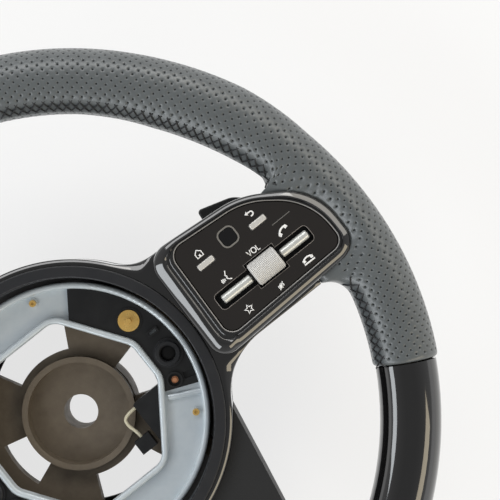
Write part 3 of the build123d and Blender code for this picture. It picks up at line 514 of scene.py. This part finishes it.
laceUp("gripLacing.right", hides["gripLow"], hides["gripHigh"], 1)
laceUp("gripLacing.left", hides["gripLow"], hides["gripHigh"], -1)
laceUp("topLacing", hides["topLow"], hides["topHigh"], 1)
print("seams laced")


# bezels: a moulded frame with a lip round the panel, a groove and a sloping flank, and a painted highlight on the
# chamfer by the panel

bezel = {"foot": 67.0, "rimFoot": 71.5, "rimStart": 137.0, "rimFull": 140.5, "slip": 0.2, "chamfer": 0.42,
         "chamferFoot": 74.3, "top": 75.4, "sharp": 20, "lipShare": 0.22, "lipMost": 2.9, "flankShare": 0.68,
         "flankMost": 6.0, "lip": ((0.02, 74.68), (0.84, 74.72), (0.9, 74.66), (0.95, 74.45), (1.0, 74.4)),
         "middle": ((0.3, 74.42), (0.5, 74.5), (0.56, 74.62), (0.62, 74.9), (0.7, 75.04)),
         # share of the flank's width, drop where it is rounded, drop where it is flat
         "flank": ((1.0, 0.0, 0.0), (0.9, 0.006, 0.028), (0.8, 0.022, 0.083), (0.7, 0.05, 0.137), (0.6, 0.088, 0.191),
                   (0.5, 0.138, 0.245), (0.4, 0.198, 0.3), (0.3, 0.27, 0.354), (0.2, 0.352, 0.408), (0.1, 0.446, 0.485),
                   (0.05, 0.54, 0.59), (0.02, 0.67, 0.71), (0.0, 0.9, 0.9)),
         # how flat: everywhere, more towards the rim, and by the hub growing from a low point over a height
         "flat": 0.45, "flatRim": 0.4, "flatHubLow": -34, "flatHubOver": 62, "flatHubLeast": 0.3}


def raysOut(loop, target):  # outward directions square to a loop, and how far the target outline is along each
    tangent = np.roll(loop, -1, 0) - np.roll(loop, 1, 0)
    out = np.stack([tangent[:, 1], -tangent[:, 0]], 1)
    out *= np.sign(((loop - loop.mean(0)) * out).sum())
    out /= np.linalg.norm(out, axis=1)[:, None]
    start, edge = target, np.roll(target, -1, 0) - target
    reach = np.empty(len(loop))
    for i, (p, d) in enumerate(zip(loop, out)):
        cross = d[0] * edge[:, 1] - d[1] * edge[:, 0] + 1e-12
        along = ((start[:, 0] - p[0]) * edge[:, 1] - (start[:, 1] - p[1]) * edge[:, 0]) / cross
        on = ((start[:, 0] - p[0]) * d[1] - (start[:, 1] - p[1]) * d[0]) / cross
        reach[i] = along[(along > 0) & (on >= -1e-6) & (on <= 1 + 1e-6)].min()
    return out, reach


panelOut, width = raysOut(panelLoop, bezelLoop)
inner, width = panelLoop + panelOut * bezel["slip"], width - bezel["slip"]
edge = inner + panelOut * width[:, None]
blend = np.clip((edge[:, 0] - bezel["rimStart"]) / (bezel["rimFull"] - bezel["rimStart"]), 0, 1)
foot = bezel["foot"] + (bezel["rimFoot"] - bezel["foot"]) * blend
lip = np.minimum(bezel["lipMost"], bezel["lipShare"] * width)
flank = np.minimum(bezel["flankMost"], bezel["flankShare"] * width)
hubSide, rimSide = (np.clip(sign * panelOut[:, 0], 0, 1) ** 2 for sign in (-1, 1))
flat = hubSide * np.clip((edge[:, 1] - bezel["flatHubLow"]) / bezel["flatHubOver"], bezel["flatHubLeast"], 1)
flat = np.maximum(flat, bezel["flat"] + bezel["flatRim"] * rimSide)
still = np.zeros(len(inner))
rings = [(still, foot), (still, still + bezel["chamferFoot"])]  # reach and height of each ring, from the panel outwards
rings += [(bezel["chamfer"] + (lip - bezel["chamfer"]) * share, still + height) for share, height in bezel["lip"]]
rings += [(lip + (width - flank - lip) * share, still + height) for share, height in bezel["middle"]]
rings += [(width - flank * share, np.maximum(bezel["top"] - (rounded + (even - rounded) * flat) * flank, foot))
          for share, rounded, even in bezel["flank"]]
rings += [(width, foot)]
for side, label in sides:
    points = []
    for reach, level in rings:
        ring = inner + panelOut * reach[:, None]
        points += [(p[0] * side * mm, p[1] * mm, z * mm) for p, z in zip(ring, level)]
    faces = loftFaces(len(rings), len(inner), flip=side < 0)
    # the chamfer next to the panel gets the pale painted highlight
    chamferHighlightFaces = [int(f // len(inner) == 1) for f in range(len(faces))]  # the chamfer next to the panel
    piece = meshPiece("bezel." + label, points, faces, [finish["pianoBlack"], finish["chamferHighlight"]], chamferHighlightFaces,
                      bezel["sharp"])
    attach(piece, "wheel")
    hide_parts("bezel_" + label)
print("bezels moulded")


# printed signs, and pale lines round the slots that are painted highlights on their rims: lines swept along paths, in
# mm from each sign's middle

printTree, sizes = nodeTree("printed lines", {"Width": "Float", "Height": "Float", "Material": "Material"})
paths = addNode(printTree, "GeometryNodeMeshToCurve", None, {"Mesh": sizes["Geometry"]})
flatPaths = addNode(printTree, "GeometryNodeSetCurveNormal", None, {"Curve": paths.outputs[0]}, mode="Z_UP")
section = addNode(printTree, "GeometryNodeCurvePrimitiveQuadrilateral", None, {
    "Width": sizes["Width"], "Height": sizes["Height"]})
swept = addNode(printTree, "GeometryNodeCurveToMesh", {"Fill Caps": True}, {
    "Curve": flatPaths.outputs[0], "Profile Curve": section.outputs[0]})
endTree(printTree, sizes, swept.outputs[0], {"Material": None})


def arcPath(x, y, radius, start, end, steps=12, squash=1.0):
    turns = np.radians(np.linspace(start, end, steps + 1))
    return [(x + radius * math.cos(t), y + radius * squash * math.sin(t)) for t in turns]


def starPath(outer, inner):  # five points
    spokes = [(inner if k % 2 else outer, math.radians(90 + 36 * k)) for k in range(11)]
    return [(r * math.cos(t), r * math.sin(t)) for r, t in spokes]


def turned(path, angle):
    c, s = math.cos(math.radians(angle)), math.sin(math.radians(angle))
    return [(x * c - y * s, x * s + y * c) for x, y in path]


handset = [[(x, 0.15 + 1.1 * (1 - (x / 3) ** 2)) for x in np.linspace(-2.9, 2.9, 13)]]
for s in (1, -1):  # two strokes fill each end
    handset += [[(s * 2.85, 0.7), (s * 2.7, -0.8)], [(s * 2.05, 0.7), (s * 1.95, -0.7)]]
signs = {"right": {
    "back": {"at": (133.3, 25.1), "width": 0.7, "paths": [
        [(-1.2, 0.9), (0.5, 0.9)] + arcPath(0.5, -0.2, 1.1, 90, -90, 10) + [(-0.3, -1.3)],
        [(-1.2, 1.7), (-2.2, 0.9), (-1.2, 0.1), (-1.2, 1.7)], [(-1.9, 0.9), (-1.2, 0.9)]]},
    "home": {"at": (101.4, 25.2), "width": 0.6, "paths": [
        [(-1.75, -1.6), (-1.75, 0.7), (0, 2.2), (1.75, 0.7), (1.75, -1.6), (-1.75, -1.6)],
        [(-0.2, -1.5), (-0.2, -0.3)], [(0.2, -1.5), (0.2, -0.3)]]},
    "volume": {"at": (123.4, 10.0), "width": 0.52, "paths": [
        [(-3.4, 1.4), (-2.4, -1.4), (-1.4, 1.4)], arcPath(0.25, 0, 1.2, 0, 360, 20, 1.17),
        [(2.2, 1.4), (2.2, -1.4), (3.5, -1.4)]]},
    "accept": {"at": (140.8, 8.5), "width": 0.95, "paths": [turned(path, 24) for path in handset]},
    "hangUp": {"at": (141.8, -10.0), "width": 0.8, "paths": [
        *[[(x * 0.94, y * 0.94) for x, y in path] for path in handset], [(-3.1, -1.55), (3.1, -1.55)]]},
    "mute": {"at": (123.6, -12.2), "width": 0.48, "paths": [
        [(-1.6, -0.5), (-1.6, 0.5), (-0.85, 0.5), (0.2, 1.3), (0.2, -1.3), (-0.85, -0.5), (-1.6, -0.5)],
        [(-1.2, 0), (-0.1, 0)], [(-0.7, 0.3), (-0.1, 0.75)], [(-0.7, -0.3), (-0.1, -0.75)],
        [(-1.7, -1.5), (1.6, 1.5)], arcPath(0.1, 0, 1.1, -38, 38, 6)]},
    "voice": {"at": (105.0, 7.7), "width": 0.6, "paths": [
        [(1.2, 3.2), (-0.1, 1.2), (0.4, 0.5), (-0.1, -0.4), (0.6, -1.3), (1.9, -2.0)],
        [(-1.1, 0.1), (-1.5, -0.4), (-1.2, -1.0)], [(-1.9, 0.4), (-2.4, -0.4), (-2.0, -1.3)],
        [(-2.7, 0.6), (-3.2, -0.4), (-2.8, -1.5)]]},
    "star": {"at": (104.1, -11.25), "width": 0.56, "paths": [starPath(2.35, 1.05)]},
}, "left": {
    "resume": {"at": (133.3, 25.1), "width": 0.5, "paths": [arcPath(0, 0, 1.7, 210, -30, 14), [(0, 0), (0.9, 1.0)]]},
    "gap": {"at": (101.4, 25.2), "width": 0.5, "paths": [
        [(-2, -1), (2, -1)], [(-1.4, 0), (1.4, 0)], [(-0.8, 1), (0.8, 1)]]},
    "more": {"at": (140.8, 8.3), "width": 0.55, "paths": [[(-1.6, 0), (1.6, 0)], [(0, -1.6), (0, 1.6)]]},
    "less": {"at": (105.0, 7.7), "width": 0.55, "paths": [[(-1.6, 0), (1.6, 0)]]},
    "pause": {"at": (122.7, -12.6), "width": 0.6, "paths": [[(-0.7, -1.3), (-0.7, 1.3)], [(0.7, -1.3), (0.7, 1.3)]]},
}}
printed = {"level": 74.03, "lift": 0.012, "height": 0.12, "slotHeight": 0.24, "slotWidth": 0.3, "markWidth": 0.4,
           "mark": [(138.3, 13.8), (149.2, 13.9)], "slot": (122.4, 57.6, 9.2), "slotCorner": 2.4,
           "pocket": (123.7, 17.8, 14.6)}  # slot and pocket: middle, length, width


def sweepLines(name, lines, side, width, height, material):  # lines: lists of (x, y) in mm
    points, edges = [], []
    for k, line in enumerate(lines):
        level = printed["level"] + printed["lift"] * k  # lines that cross don't share a plane
        shut = math.dist(line[0], line[-1]) < 1e-6
        line = line[:-1] if shut else line
        first = len(points)
        points += [(x * side * mm, y * mm, level * mm) for x, y in line]
        edges += [(first + i, first + i + 1) for i in range(len(line) - 1)]
        edges += [(first + len(line) - 1, first)] if shut else []
    piece = meshPiece(name, points, edges=edges)
    bakeNodes(piece, printTree, {"Width": width * mm, "Height": height * mm, "Material": material})
    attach(piece, "wheel")


def slotPath():  # outline of the trough with the roller's pocket across it
    corner = printed["slotCorner"]
    (a, b, h), (low, high, w) = ((x - long / 2, x + long / 2, wide / 2)
                                 for x, long, wide in (printed["slot"], printed["pocket"]))
    path = [(high, h)] + arcPath(b - corner, h - corner, corner, 90, 0, 5)
    path += arcPath(b - corner, corner - h, corner, 0, -90, 5)
    path += [(high, -h), (high, -w), (low, -w), (low, -h)]
    path += arcPath(a + corner, corner - h, corner, -90, -180, 5) + arcPath(a + corner, h - corner, corner, 180, 90, 5)
    return path + [(low, h), (low, w), (high, w), (high, h)]


for side, label in sides:
    for key, sign in signs[label].items():
        lines = [[(sign["at"][0] + x * side, sign["at"][1] + y) for x, y in path] for path in sign["paths"]]
        sweepLines("sign." + label + "." + key, lines, side, sign["width"], printed["height"], finish["printWhite"])
    # a pale line round each slot: a painted highlight on its rim
    sweepLines("slotRimHighlight." + label, [slotPath()], side, printed["slotWidth"], printed["slotHeight"],
               finish["slotRimHighlight"])
    sweepLines("mark." + label, [printed["mark"]], side, printed["markWidth"], printed["height"], finish["printGrey"])
print("signs printed")


# knurled volume rollers

roller = {"x": 123.7, "level": 72.0, "radius": 5.98, "length": 16.0, "around": 46, "across": 19, "bore": 1.6,
          "rise": 0.32, "inset": 0.8, "taper": 0.8, "chamfer": 0.5}
half, count = roller["length"] / 2, roller["around"]
rings = [(-half, roller["bore"]), (-half, roller["radius"] - roller["chamfer"])]
rings += [(-half + roller["chamfer"] + (roller["length"] - 2 * roller["chamfer"]) * k / roller["across"],
           roller["radius"]) for k in range(roller["across"] + 1)]
rings += [(half, roller["radius"] - roller["chamfer"]), (half, roller["bore"])]
faces = [(a, d, c, b) for a, b, c, d in loftFaces(len(rings), count)]
knurled = [2 <= f // count < 2 + roller["across"] for f in range(len(faces))]
for side, label in sides:
    points = []
    for x, r in rings:
        points += [((roller["x"] * side + x) * mm, r * math.sin(2 * math.pi * k / count) * mm,
                    (roller["level"] + r * math.cos(2 * math.pi * k / count)) * mm) for k in range(count)]
    piece = meshPiece("volumeRoller." + label, points, faces, [finish["rollerMetal"]])
    storeValues(piece, "picked", "BOOLEAN", "FACE", knurled)
    # the grooves and stud sides take the darker painted shade, the stud tops the pale metal
    bakeNodes(piece, punchTree, {"Inset": roller["inset"], "Dimple": 0.0, "Move": roller["rise"] * mm,
                                 "Taper": roller["taper"], "Levels": 0, "Skin": finish["rollerGrooveShade"],
                                 "Floor": finish["rollerMetal"]})
    piece.data.shade_flat()
    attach(piece, "volume_roller_" + label + "_body")
    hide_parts("volume_roller_" + label)
print("rollers knurled")


# the module's lead: an insulated wire on one smooth line, held by the module and the socket

lead = {"radius": 0.9, "round": 6,
        "route": ((26, -15.8, 38), (18, -15.8, 38), (16.5, -20.3, 38), (18.5, -26.3, 38), (18.5, -29.3, 38))}
line = bpy.data.curves.new("lead line", "CURVE")
line.dimensions, line.use_fill_caps = "3D", True
line.bevel_depth, line.bevel_resolution = lead["radius"] * mm, lead["round"]
spline = line.splines.new("NURBS")
spline.points.add(len(lead["route"]) - 1)
for point, place in zip(spline.points, lead["route"]):
    point.co = (*[c * mm for c in place], 1)
spline.order_u, spline.use_endpoint_u = 3, True
wire = linkObject("lead line", line)
piece = linkObject("moduleLead", evaluatedMesh(wire))
bpy.data.objects.remove(wire)
piece.data.materials.clear()
piece.data.materials.append(finish["leadCream"])
piece.data.shade_smooth()
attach(piece, "wheel")
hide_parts("module_lead")
print("lead laid")


# screws of the carrier and of the rear cover: a flange, a head with a six-sided recess and the shank, set on points

screwTree, sizes = nodeTree("screws", {
    "Flange": "Float", "Head": "Float", "Height": "Float", "Recess": "Float", "Shank": "Float", "Length": "Float",
    "Flange material": "Material", "Head material": "Material"})


def screwRod(radius, start, length, vertices=32):  # a rod along the screw's axis, from a start and over a length
    rod = addNode(screwTree, "GeometryNodeMeshCylinder", {"Vertices": vertices}, {"Radius": radius, "Depth": length})
    half = addNode(screwTree, "ShaderNodeMath", {1: 0.5}, {0: length, 2: start}, operation="MULTIPLY_ADD")
    up = addNode(screwTree, "ShaderNodeCombineXYZ", None, {"Z": half.outputs[0]})
    return addNode(screwTree, "GeometryNodeTransform", None, {
        "Geometry": rod.outputs["Mesh"], "Translation": up.outputs[0]}).outputs[0]


screwParts = {"bottom": ("Height", 0.0), "flange": ("Height", 0.35), "recess": ("Height", 0.55),
              "head": ("Height", 0.65), "tip": ("Length", -1.0)}  # a size and the share of it
levels = {name: addNode(screwTree, "ShaderNodeMath", {1: share}, {0: sizes[key]}, operation="MULTIPLY").outputs[0]
          for name, (key, share) in screwParts.items()}
flange = screwRod(sizes["Flange"], levels["bottom"], levels["flange"])
shank = screwRod(sizes["Shank"], levels["tip"], sizes["Length"])
head = screwRod(sizes["Head"], levels["flange"], levels["head"])
recess = screwRod(sizes["Recess"], levels["recess"], sizes["Height"], 6)
drilled = addNode(screwTree, "GeometryNodeMeshBoolean", None, {"Mesh 1": head, "Mesh 2": recess},
                  operation="DIFFERENCE", solver="EXACT")
marked = addNode(screwTree, "GeometryNodeStoreNamedAttribute", {"Name": "head", "Value": True},
                 {"Geometry": drilled.outputs["Mesh"]}, data_type="BOOLEAN", domain="FACE")
parts = addNode(screwTree, "GeometryNodeJoinGeometry")
for socket in (shank, marked.outputs[0], flange):
    screwTree.links.new(socket, parts.inputs[0])
outward = addNode(screwTree, "GeometryNodeInputNamedAttribute", {"Name": "outward"}, data_type="FLOAT_VECTOR")
upright = addNode(screwTree, "FunctionNodeAlignRotationToVector", None, {"Vector": outward.outputs[0]}, axis="Z")
placed = addNode(screwTree, "GeometryNodeInstanceOnPoints", None, {
    "Points": sizes["Geometry"], "Instance": parts.outputs[0], "Rotation": upright.outputs[0]})
heads = addNode(screwTree, "GeometryNodeInputNamedAttribute", {"Name": "head"}, data_type="BOOLEAN")
endTree(screwTree, sizes, placed.outputs[0], {"Flange material": None, "Head material": heads.outputs[0]})

screws = {
    "carrierScrews": {
        "node": "carrier_screws", "radius": 61.5, "angles": (-36, 72, 108, 216), "level": 49.0, "out": 1.0,
        "metals": ("carrierMetal", "contactGold"), "slot": "contact_gold",
        "sizes": {"Flange": 2.7, "Head": 1.75, "Height": 1.6, "Recess": 0.85, "Shank": 2.0, "Length": 17.0}},
    "rearCoverScrews": {
        "node": "rear_cover_screws", "radius": 56.5, "angles": (45, 135, 225, 315), "level": 1.0, "out": -1.0,
        "metals": ("darkScrew", "darkScrew"), "slot": "dark_screw",
        "sizes": {"Flange": 3.2, "Head": 2.5, "Height": 1.6, "Recess": 1.3, "Shank": 2.0, "Length": 24.0}},
}
for name, screw in screws.items():
    points = [(screw["radius"] * math.cos(t) * mm, screw["radius"] * math.sin(t) * mm, screw["level"] * mm)
              for t in np.radians(screw["angles"])]
    piece = meshPiece(name, points)
    storeValues(piece, "outward", "FLOAT_VECTOR", "POINT", [(0, 0, screw["out"])] * len(points))
    values = {key: size * mm for key, size in screw["sizes"].items()}
    bakeNodes(piece, screwTree, {**values, "Flange material": finish[screw["metals"][0]],
                                 "Head material": finish[screw["metals"][1]]})
    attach(piece, "wheel")
    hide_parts(screw["node"])
print("screws set")


# a dished near-black plug in each guide bush's bore, put where the bore shows only shade: painted shade

boreShade = {"x": 57.4, "y": -3.9, "steps": 32, "bottom": 46.2, "middle": 46.7,
        "profile": ((3.86, 46.2), (3.86, 47.6), (3.5, 47.3), (2.6, 46.9), (1.2, 46.75))}  # radius and height
for side, label in sides:
    x, y, count, rings = boreShade["x"] * side, boreShade["y"], boreShade["steps"], len(boreShade["profile"])
    turns = [2 * math.pi * k / count for k in range(count)]
    points = [(x, y, boreShade["bottom"])]
    points += [(x + r * math.cos(t), y + r * math.sin(t), z) for r, z in boreShade["profile"] for t in turns]
    points.append((x, y, boreShade["middle"]))
    faces = loftFaces(rings, count, False, first=1)
    for k in range(count):
        low, high = 1, 1 + (rings - 1) * count
        faces += [(0, low + (k + 1) % count, low + k), (high + k, high + (k + 1) % count, len(points) - 1)]
    piece = meshPiece("boreShadePlug." + label, np.array(points) * mm, faces, [finish["nylonBlack"]])
    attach(piece, "wheel")
print("bushes plugged")


# front trim: a shell over hub and spoke bases with a broad soft edge, open for the airbag surround and the pods

trim = {"radius": 80.3, "level": 67.0, "split": 46.0, "wall": 2.2, "hole": 77.3, "podInset": 2.6, "end": 139.5,
        "upper": (41.0, -1.8 / 93, 27.0), "lower": (-24.0, 0.0, 37.0),  # spoke edges: height, slope, blend into the hub
        "spoke": ((93.0, 39.2), (123.0, 36.0), (139.5, 31.3), (172.0, 31.3), (172.0, -24.0)),
        "edge": ((0, -5.0), (0.15, -3.6), (0.5, -2.75), (1.0, -2.3), (2.3, -1.58), (3.6, -0.86), (4.4, -0.5),
                 (5.4, -0.18), (6.6, 0)),  # inset and drop; narrower beside the surround, the bezels and past the end
        "surroundGap": 0.6, "leastRoom": 0.3, "bezelNear": 8.0, "leastDrop": 0.25, "leastReach": 0.45,
        "endReach": 0.2, "step": 2.5, "blendSteps": 14, "hubSteps": 30, "holeSteps": 96, "sharp": 40}


def blendArc(height, slope, blend, side):  # arc that joins the hub's circle to a straight spoke edge
    up = np.array([-slope, 1]) / math.hypot(slope, 1)
    far, reach = up[1] * height + side * blend, trim["radius"] + blend
    centre = up * far + np.array([up[1], -up[0]]) * math.sqrt(reach ** 2 - far ** 2)
    return arcBetween(centre, blend, centre * trim["radius"] / reach, centre - side * blend * up, trim["blendSteps"])


def hubOutline():  # the shell's plan, from the top of the hub round to the right
    upper, lower = blendArc(*trim["upper"], 1), blendArc(*trim["lower"], -1)
    a, b = (math.atan2(*p[::-1]) for p in (upper[0], lower[0]))
    arcs = [[trim["radius"] * np.array([math.cos(t), math.sin(t)]) for t in np.linspace(*ends, trim["hubSteps"])]
            for ends in ((math.pi / 2, a), (b, -math.pi / 2))]
    corners = arcs[0] + upper[1:] + [np.array(p) for p in trim["spoke"]] + lower[::-1] + arcs[1][1:]
    half = [corners[0]]
    for p in corners[1:]:
        parts = max(1, math.ceil(np.linalg.norm(p - half[-1]) / trim["step"]))
        first = half[-1]
        half += [first + (p - first) * k / parts for k in range(1, parts + 1)]
    return np.array(half + [p * (-1, 1) for p in half[-2:0:-1]])


outline = hubOutline()
tangent = np.roll(outline, -1, 0) - np.roll(outline, 1, 0)
out = np.stack([-tangent[:, 1], tangent[:, 0]], 1) / np.linalg.norm(tangent, axis=1)[:, None]
room = np.linalg.norm(outline, axis=1) - trim["hole"] - trim["surroundGap"]
room = np.clip(room / trim["edge"][-1][0], trim["leastRoom"], 1)
away = outsideDistance(np.abs(outline[:, 0]), outline[:, 1], bezelLoop) / trim["bezelNear"]
softness = room * np.clip(away, trim["leastDrop"], 1)
reach = room * np.clip(away, trim["leastReach"], 1)
reach = np.where(np.abs(outline[:, 0]) > trim["end"], trim["endReach"], reach)
bm = bmesh.new()
rings = [[bm.verts.new((p[0] * mm, p[1] * mm, trim["split"] * mm)) for p in outline]]
for inset, drop in trim["edge"]:
    ring = outline - out * (inset * reach)[:, None]
    heights = trim["level"] + drop * softness
    rings.append([bm.verts.new((p[0] * mm, p[1] * mm, z * mm)) for p, z in zip(ring, heights)])
verts = [v for ring in rings for v in ring]
for a, b, c, d in loftFaces(len(rings), len(outline), False):
    bm.faces.new([verts[i] for i in (b, a, d, c)])
hubHole = [(trim["hole"] * math.cos(t), trim["hole"] * math.sin(t))
           for t in np.linspace(0, 2 * math.pi, trim["holeSteps"], endpoint=False)]
podHole = panelLoop - panelOut * trim["podInset"]
loops = [rings[-1]]
for hole in (hubHole, podHole, podHole * (-1, 1)):
    loops.append([bm.verts.new((p[0] * mm, p[1] * mm, trim["level"] * mm)) for p in hole])
edges = []
for loop in loops:
    edges += [bm.edges.get((v, loop[i - 1])) or bm.edges.new((v, loop[i - 1])) for i, v in enumerate(loop)]
bmesh.ops.triangle_fill(bm, use_beauty=True, edges=edges, normal=(0, 0, 1))
for side in (1, -1):  # the spoke's end stays open for the pod and the casting's arm
    bmesh.ops.bisect_plane(bm, geom=bm.verts[:] + bm.edges[:] + bm.faces[:], plane_co=(trim["end"] * side * mm, 0, 0),
                           plane_no=(side, 0, 0), clear_outer=True)
bmesh.ops.recalc_face_normals(bm, faces=bm.faces)
if max(bm.faces, key=lambda f: f.calc_center_median().z).normal.z < 0:
    bmesh.ops.reverse_faces(bm, faces=bm.faces)
piece = meshPiece("frontTrim", [])
bm.to_mesh(piece.data)
bm.free()
piece.data.materials.append(finish["pianoBlack"])
shell = piece.modifiers.new("wall", "SOLIDIFY")
shell.thickness, shell.offset = trim["wall"] * mm, -1
piece.data = evaluatedMesh(piece)
piece.modifiers.remove(shell)
piece.data.shade_smooth()
piece.data.set_sharp_from_angle(angle=math.radians(trim["sharp"]))
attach(piece, "wheel")
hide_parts("front_trim")
print("trim moulded:", len(piece.data.polygons), "faces")


# stage: floor, lights, camera

studio = {"floorLevel": -4.6, "floorSize": 3000, "floorWhite": 0.75, "zenith": 0.28, "horizon": 0.6, "zenithFrom": 0.95,
          "backdrop": (0.2, 0.34)}  # the backdrop is white up to the first height, and gone at the second


def showingRays(tree):  # 1 for the rays that show a background: camera, glossy and transmission
    path = addNode(tree, "ShaderNodeLightPath")
    shows = path.outputs["Is Camera Ray"]
    for key in ("Is Glossy Ray", "Is Transmission Ray"):
        shows = addNode(tree, "ShaderNodeMath", None, {0: shows, 1: path.outputs[key]}, operation="MAXIMUM").outputs[0]
    return shows


# painted board: matt white; part of its white is its own, so that it renders white and keeps the shadow
floorMaterial, tree, shader = newMaterial("white floor", **{"Base Color": hexColour("#f4f4f2"), "Roughness": 0.9})
share = addNode(tree, "ShaderNodeMath", {1: studio["floorWhite"]}, {0: showingRays(tree)}, operation="MULTIPLY")
white = addNode(tree, "ShaderNodeEmission", {"Color": (1, 1, 1, 1), "Strength": 1.0})
mixed = addNode(tree, "ShaderNodeMixShader", None, {0: share.outputs[0], 1: shader.outputs[0], 2: white.outputs[0]})
output = next(n for n in tree.nodes if n.type == "OUTPUT_MATERIAL")
tree.links.new(mixed.outputs[0], output.inputs["Surface"])
half = studio["floorSize"] / 2 * mm
corners = [(x * half, y * half, studio["floorLevel"] * mm) for x, y in ((-1, -1), (1, -1), (1, 1), (-1, 1))]
floor = meshPiece("floor", corners, [(0, 1, 2, 3)], [floorMaterial])

world = bpy.data.worlds.new("soft studio")
bpy.context.scene.world = world
world.use_nodes = True
tree = world.node_tree
tree.nodes.clear()
direction = addNode(tree, "ShaderNodeSeparateXYZ", None, {0: addNode(tree, "ShaderNodeTexCoord").outputs["Generated"]})
glow = addNode(tree, "ShaderNodeMapRange", {"From Min": 0.0, "From Max": studio["zenithFrom"],
                                            "To Min": studio["horizon"], "To Max": studio["zenith"]},
               {"Value": direction.outputs["Z"]})
band = addNode(tree, "ShaderNodeMapRange", {"From Min": studio["backdrop"][0], "From Max": studio["backdrop"][1],
                                            "To Min": 1.0, "To Max": 0.0}, {"Value": direction.outputs["Z"]})
shownBand = addNode(tree, "ShaderNodeMath", None, {0: band.outputs[0], 1: showingRays(tree)}, operation="MULTIPLY")
backdrop = addNode(tree, "ShaderNodeMath", None, {0: glow.outputs[0], 1: shownBand.outputs[0]}, operation="MAXIMUM")
sky = addNode(tree, "ShaderNodeBackground", {"Color": (1, 1, 1, 1)}, {"Strength": backdrop.outputs[0]})
addNode(tree, "ShaderNodeOutputWorld", links={"Surface": sky.outputs[0]})

strips = {"distance": 1.05, "rise": 33, "wide": 0.3, "aim": (0.12, 0.02, 0.07),  # long boxes round the wheel, metres
          "boxes": {"upper strip": (75, 1.2, 3.6, "#ffffff"), "right strip": (14, 1.2, 2.8, "#fffaf0"),
                    "lower strip": (-80, 1.1, 3.0, "#fff0d2"), "hub strip": (180, 1.1, 4.5, "#f6fbff")}}
for name, (turn, length, radiance, colour) in strips["boxes"].items():  # degrees, length, brightness as seen
    rise, turn = math.radians(strips["rise"]), math.radians(turn)
    way = Vector((math.cos(rise) * math.cos(turn), math.cos(rise) * math.sin(turn), math.sin(rise)))
    lamp = bpy.data.lights.new(name, "AREA")
    lamp.shape, lamp.size, lamp.size_y = "RECTANGLE", length, strips["wide"]
    lamp.energy, lamp.color = radiance * math.pi * length * strips["wide"], hexColour(colour)[:3]
    box = linkObject(name, lamp)
    box.location = Vector(strips["aim"]) + way * strips["distance"]
    box.rotation_euler = (-way).to_track_quat("-Z", "Y").to_euler()

view = {"place": (0.1223, 0.0111, 0.762), "turn": -38.5, "lens": 101.05}
camera = linkObject("camera", bpy.data.cameras.new("camera"))
camera.location = view["place"]
camera.rotation_euler = (0, 0, math.radians(view["turn"]))
camera.data.lens = view["lens"]
camera.data.clip_start, camera.data.clip_end = 0.01, 20
bpy.context.scene.camera = camera
bpy.context.scene.view_settings.view_transform = "Standard"
print("stage set")
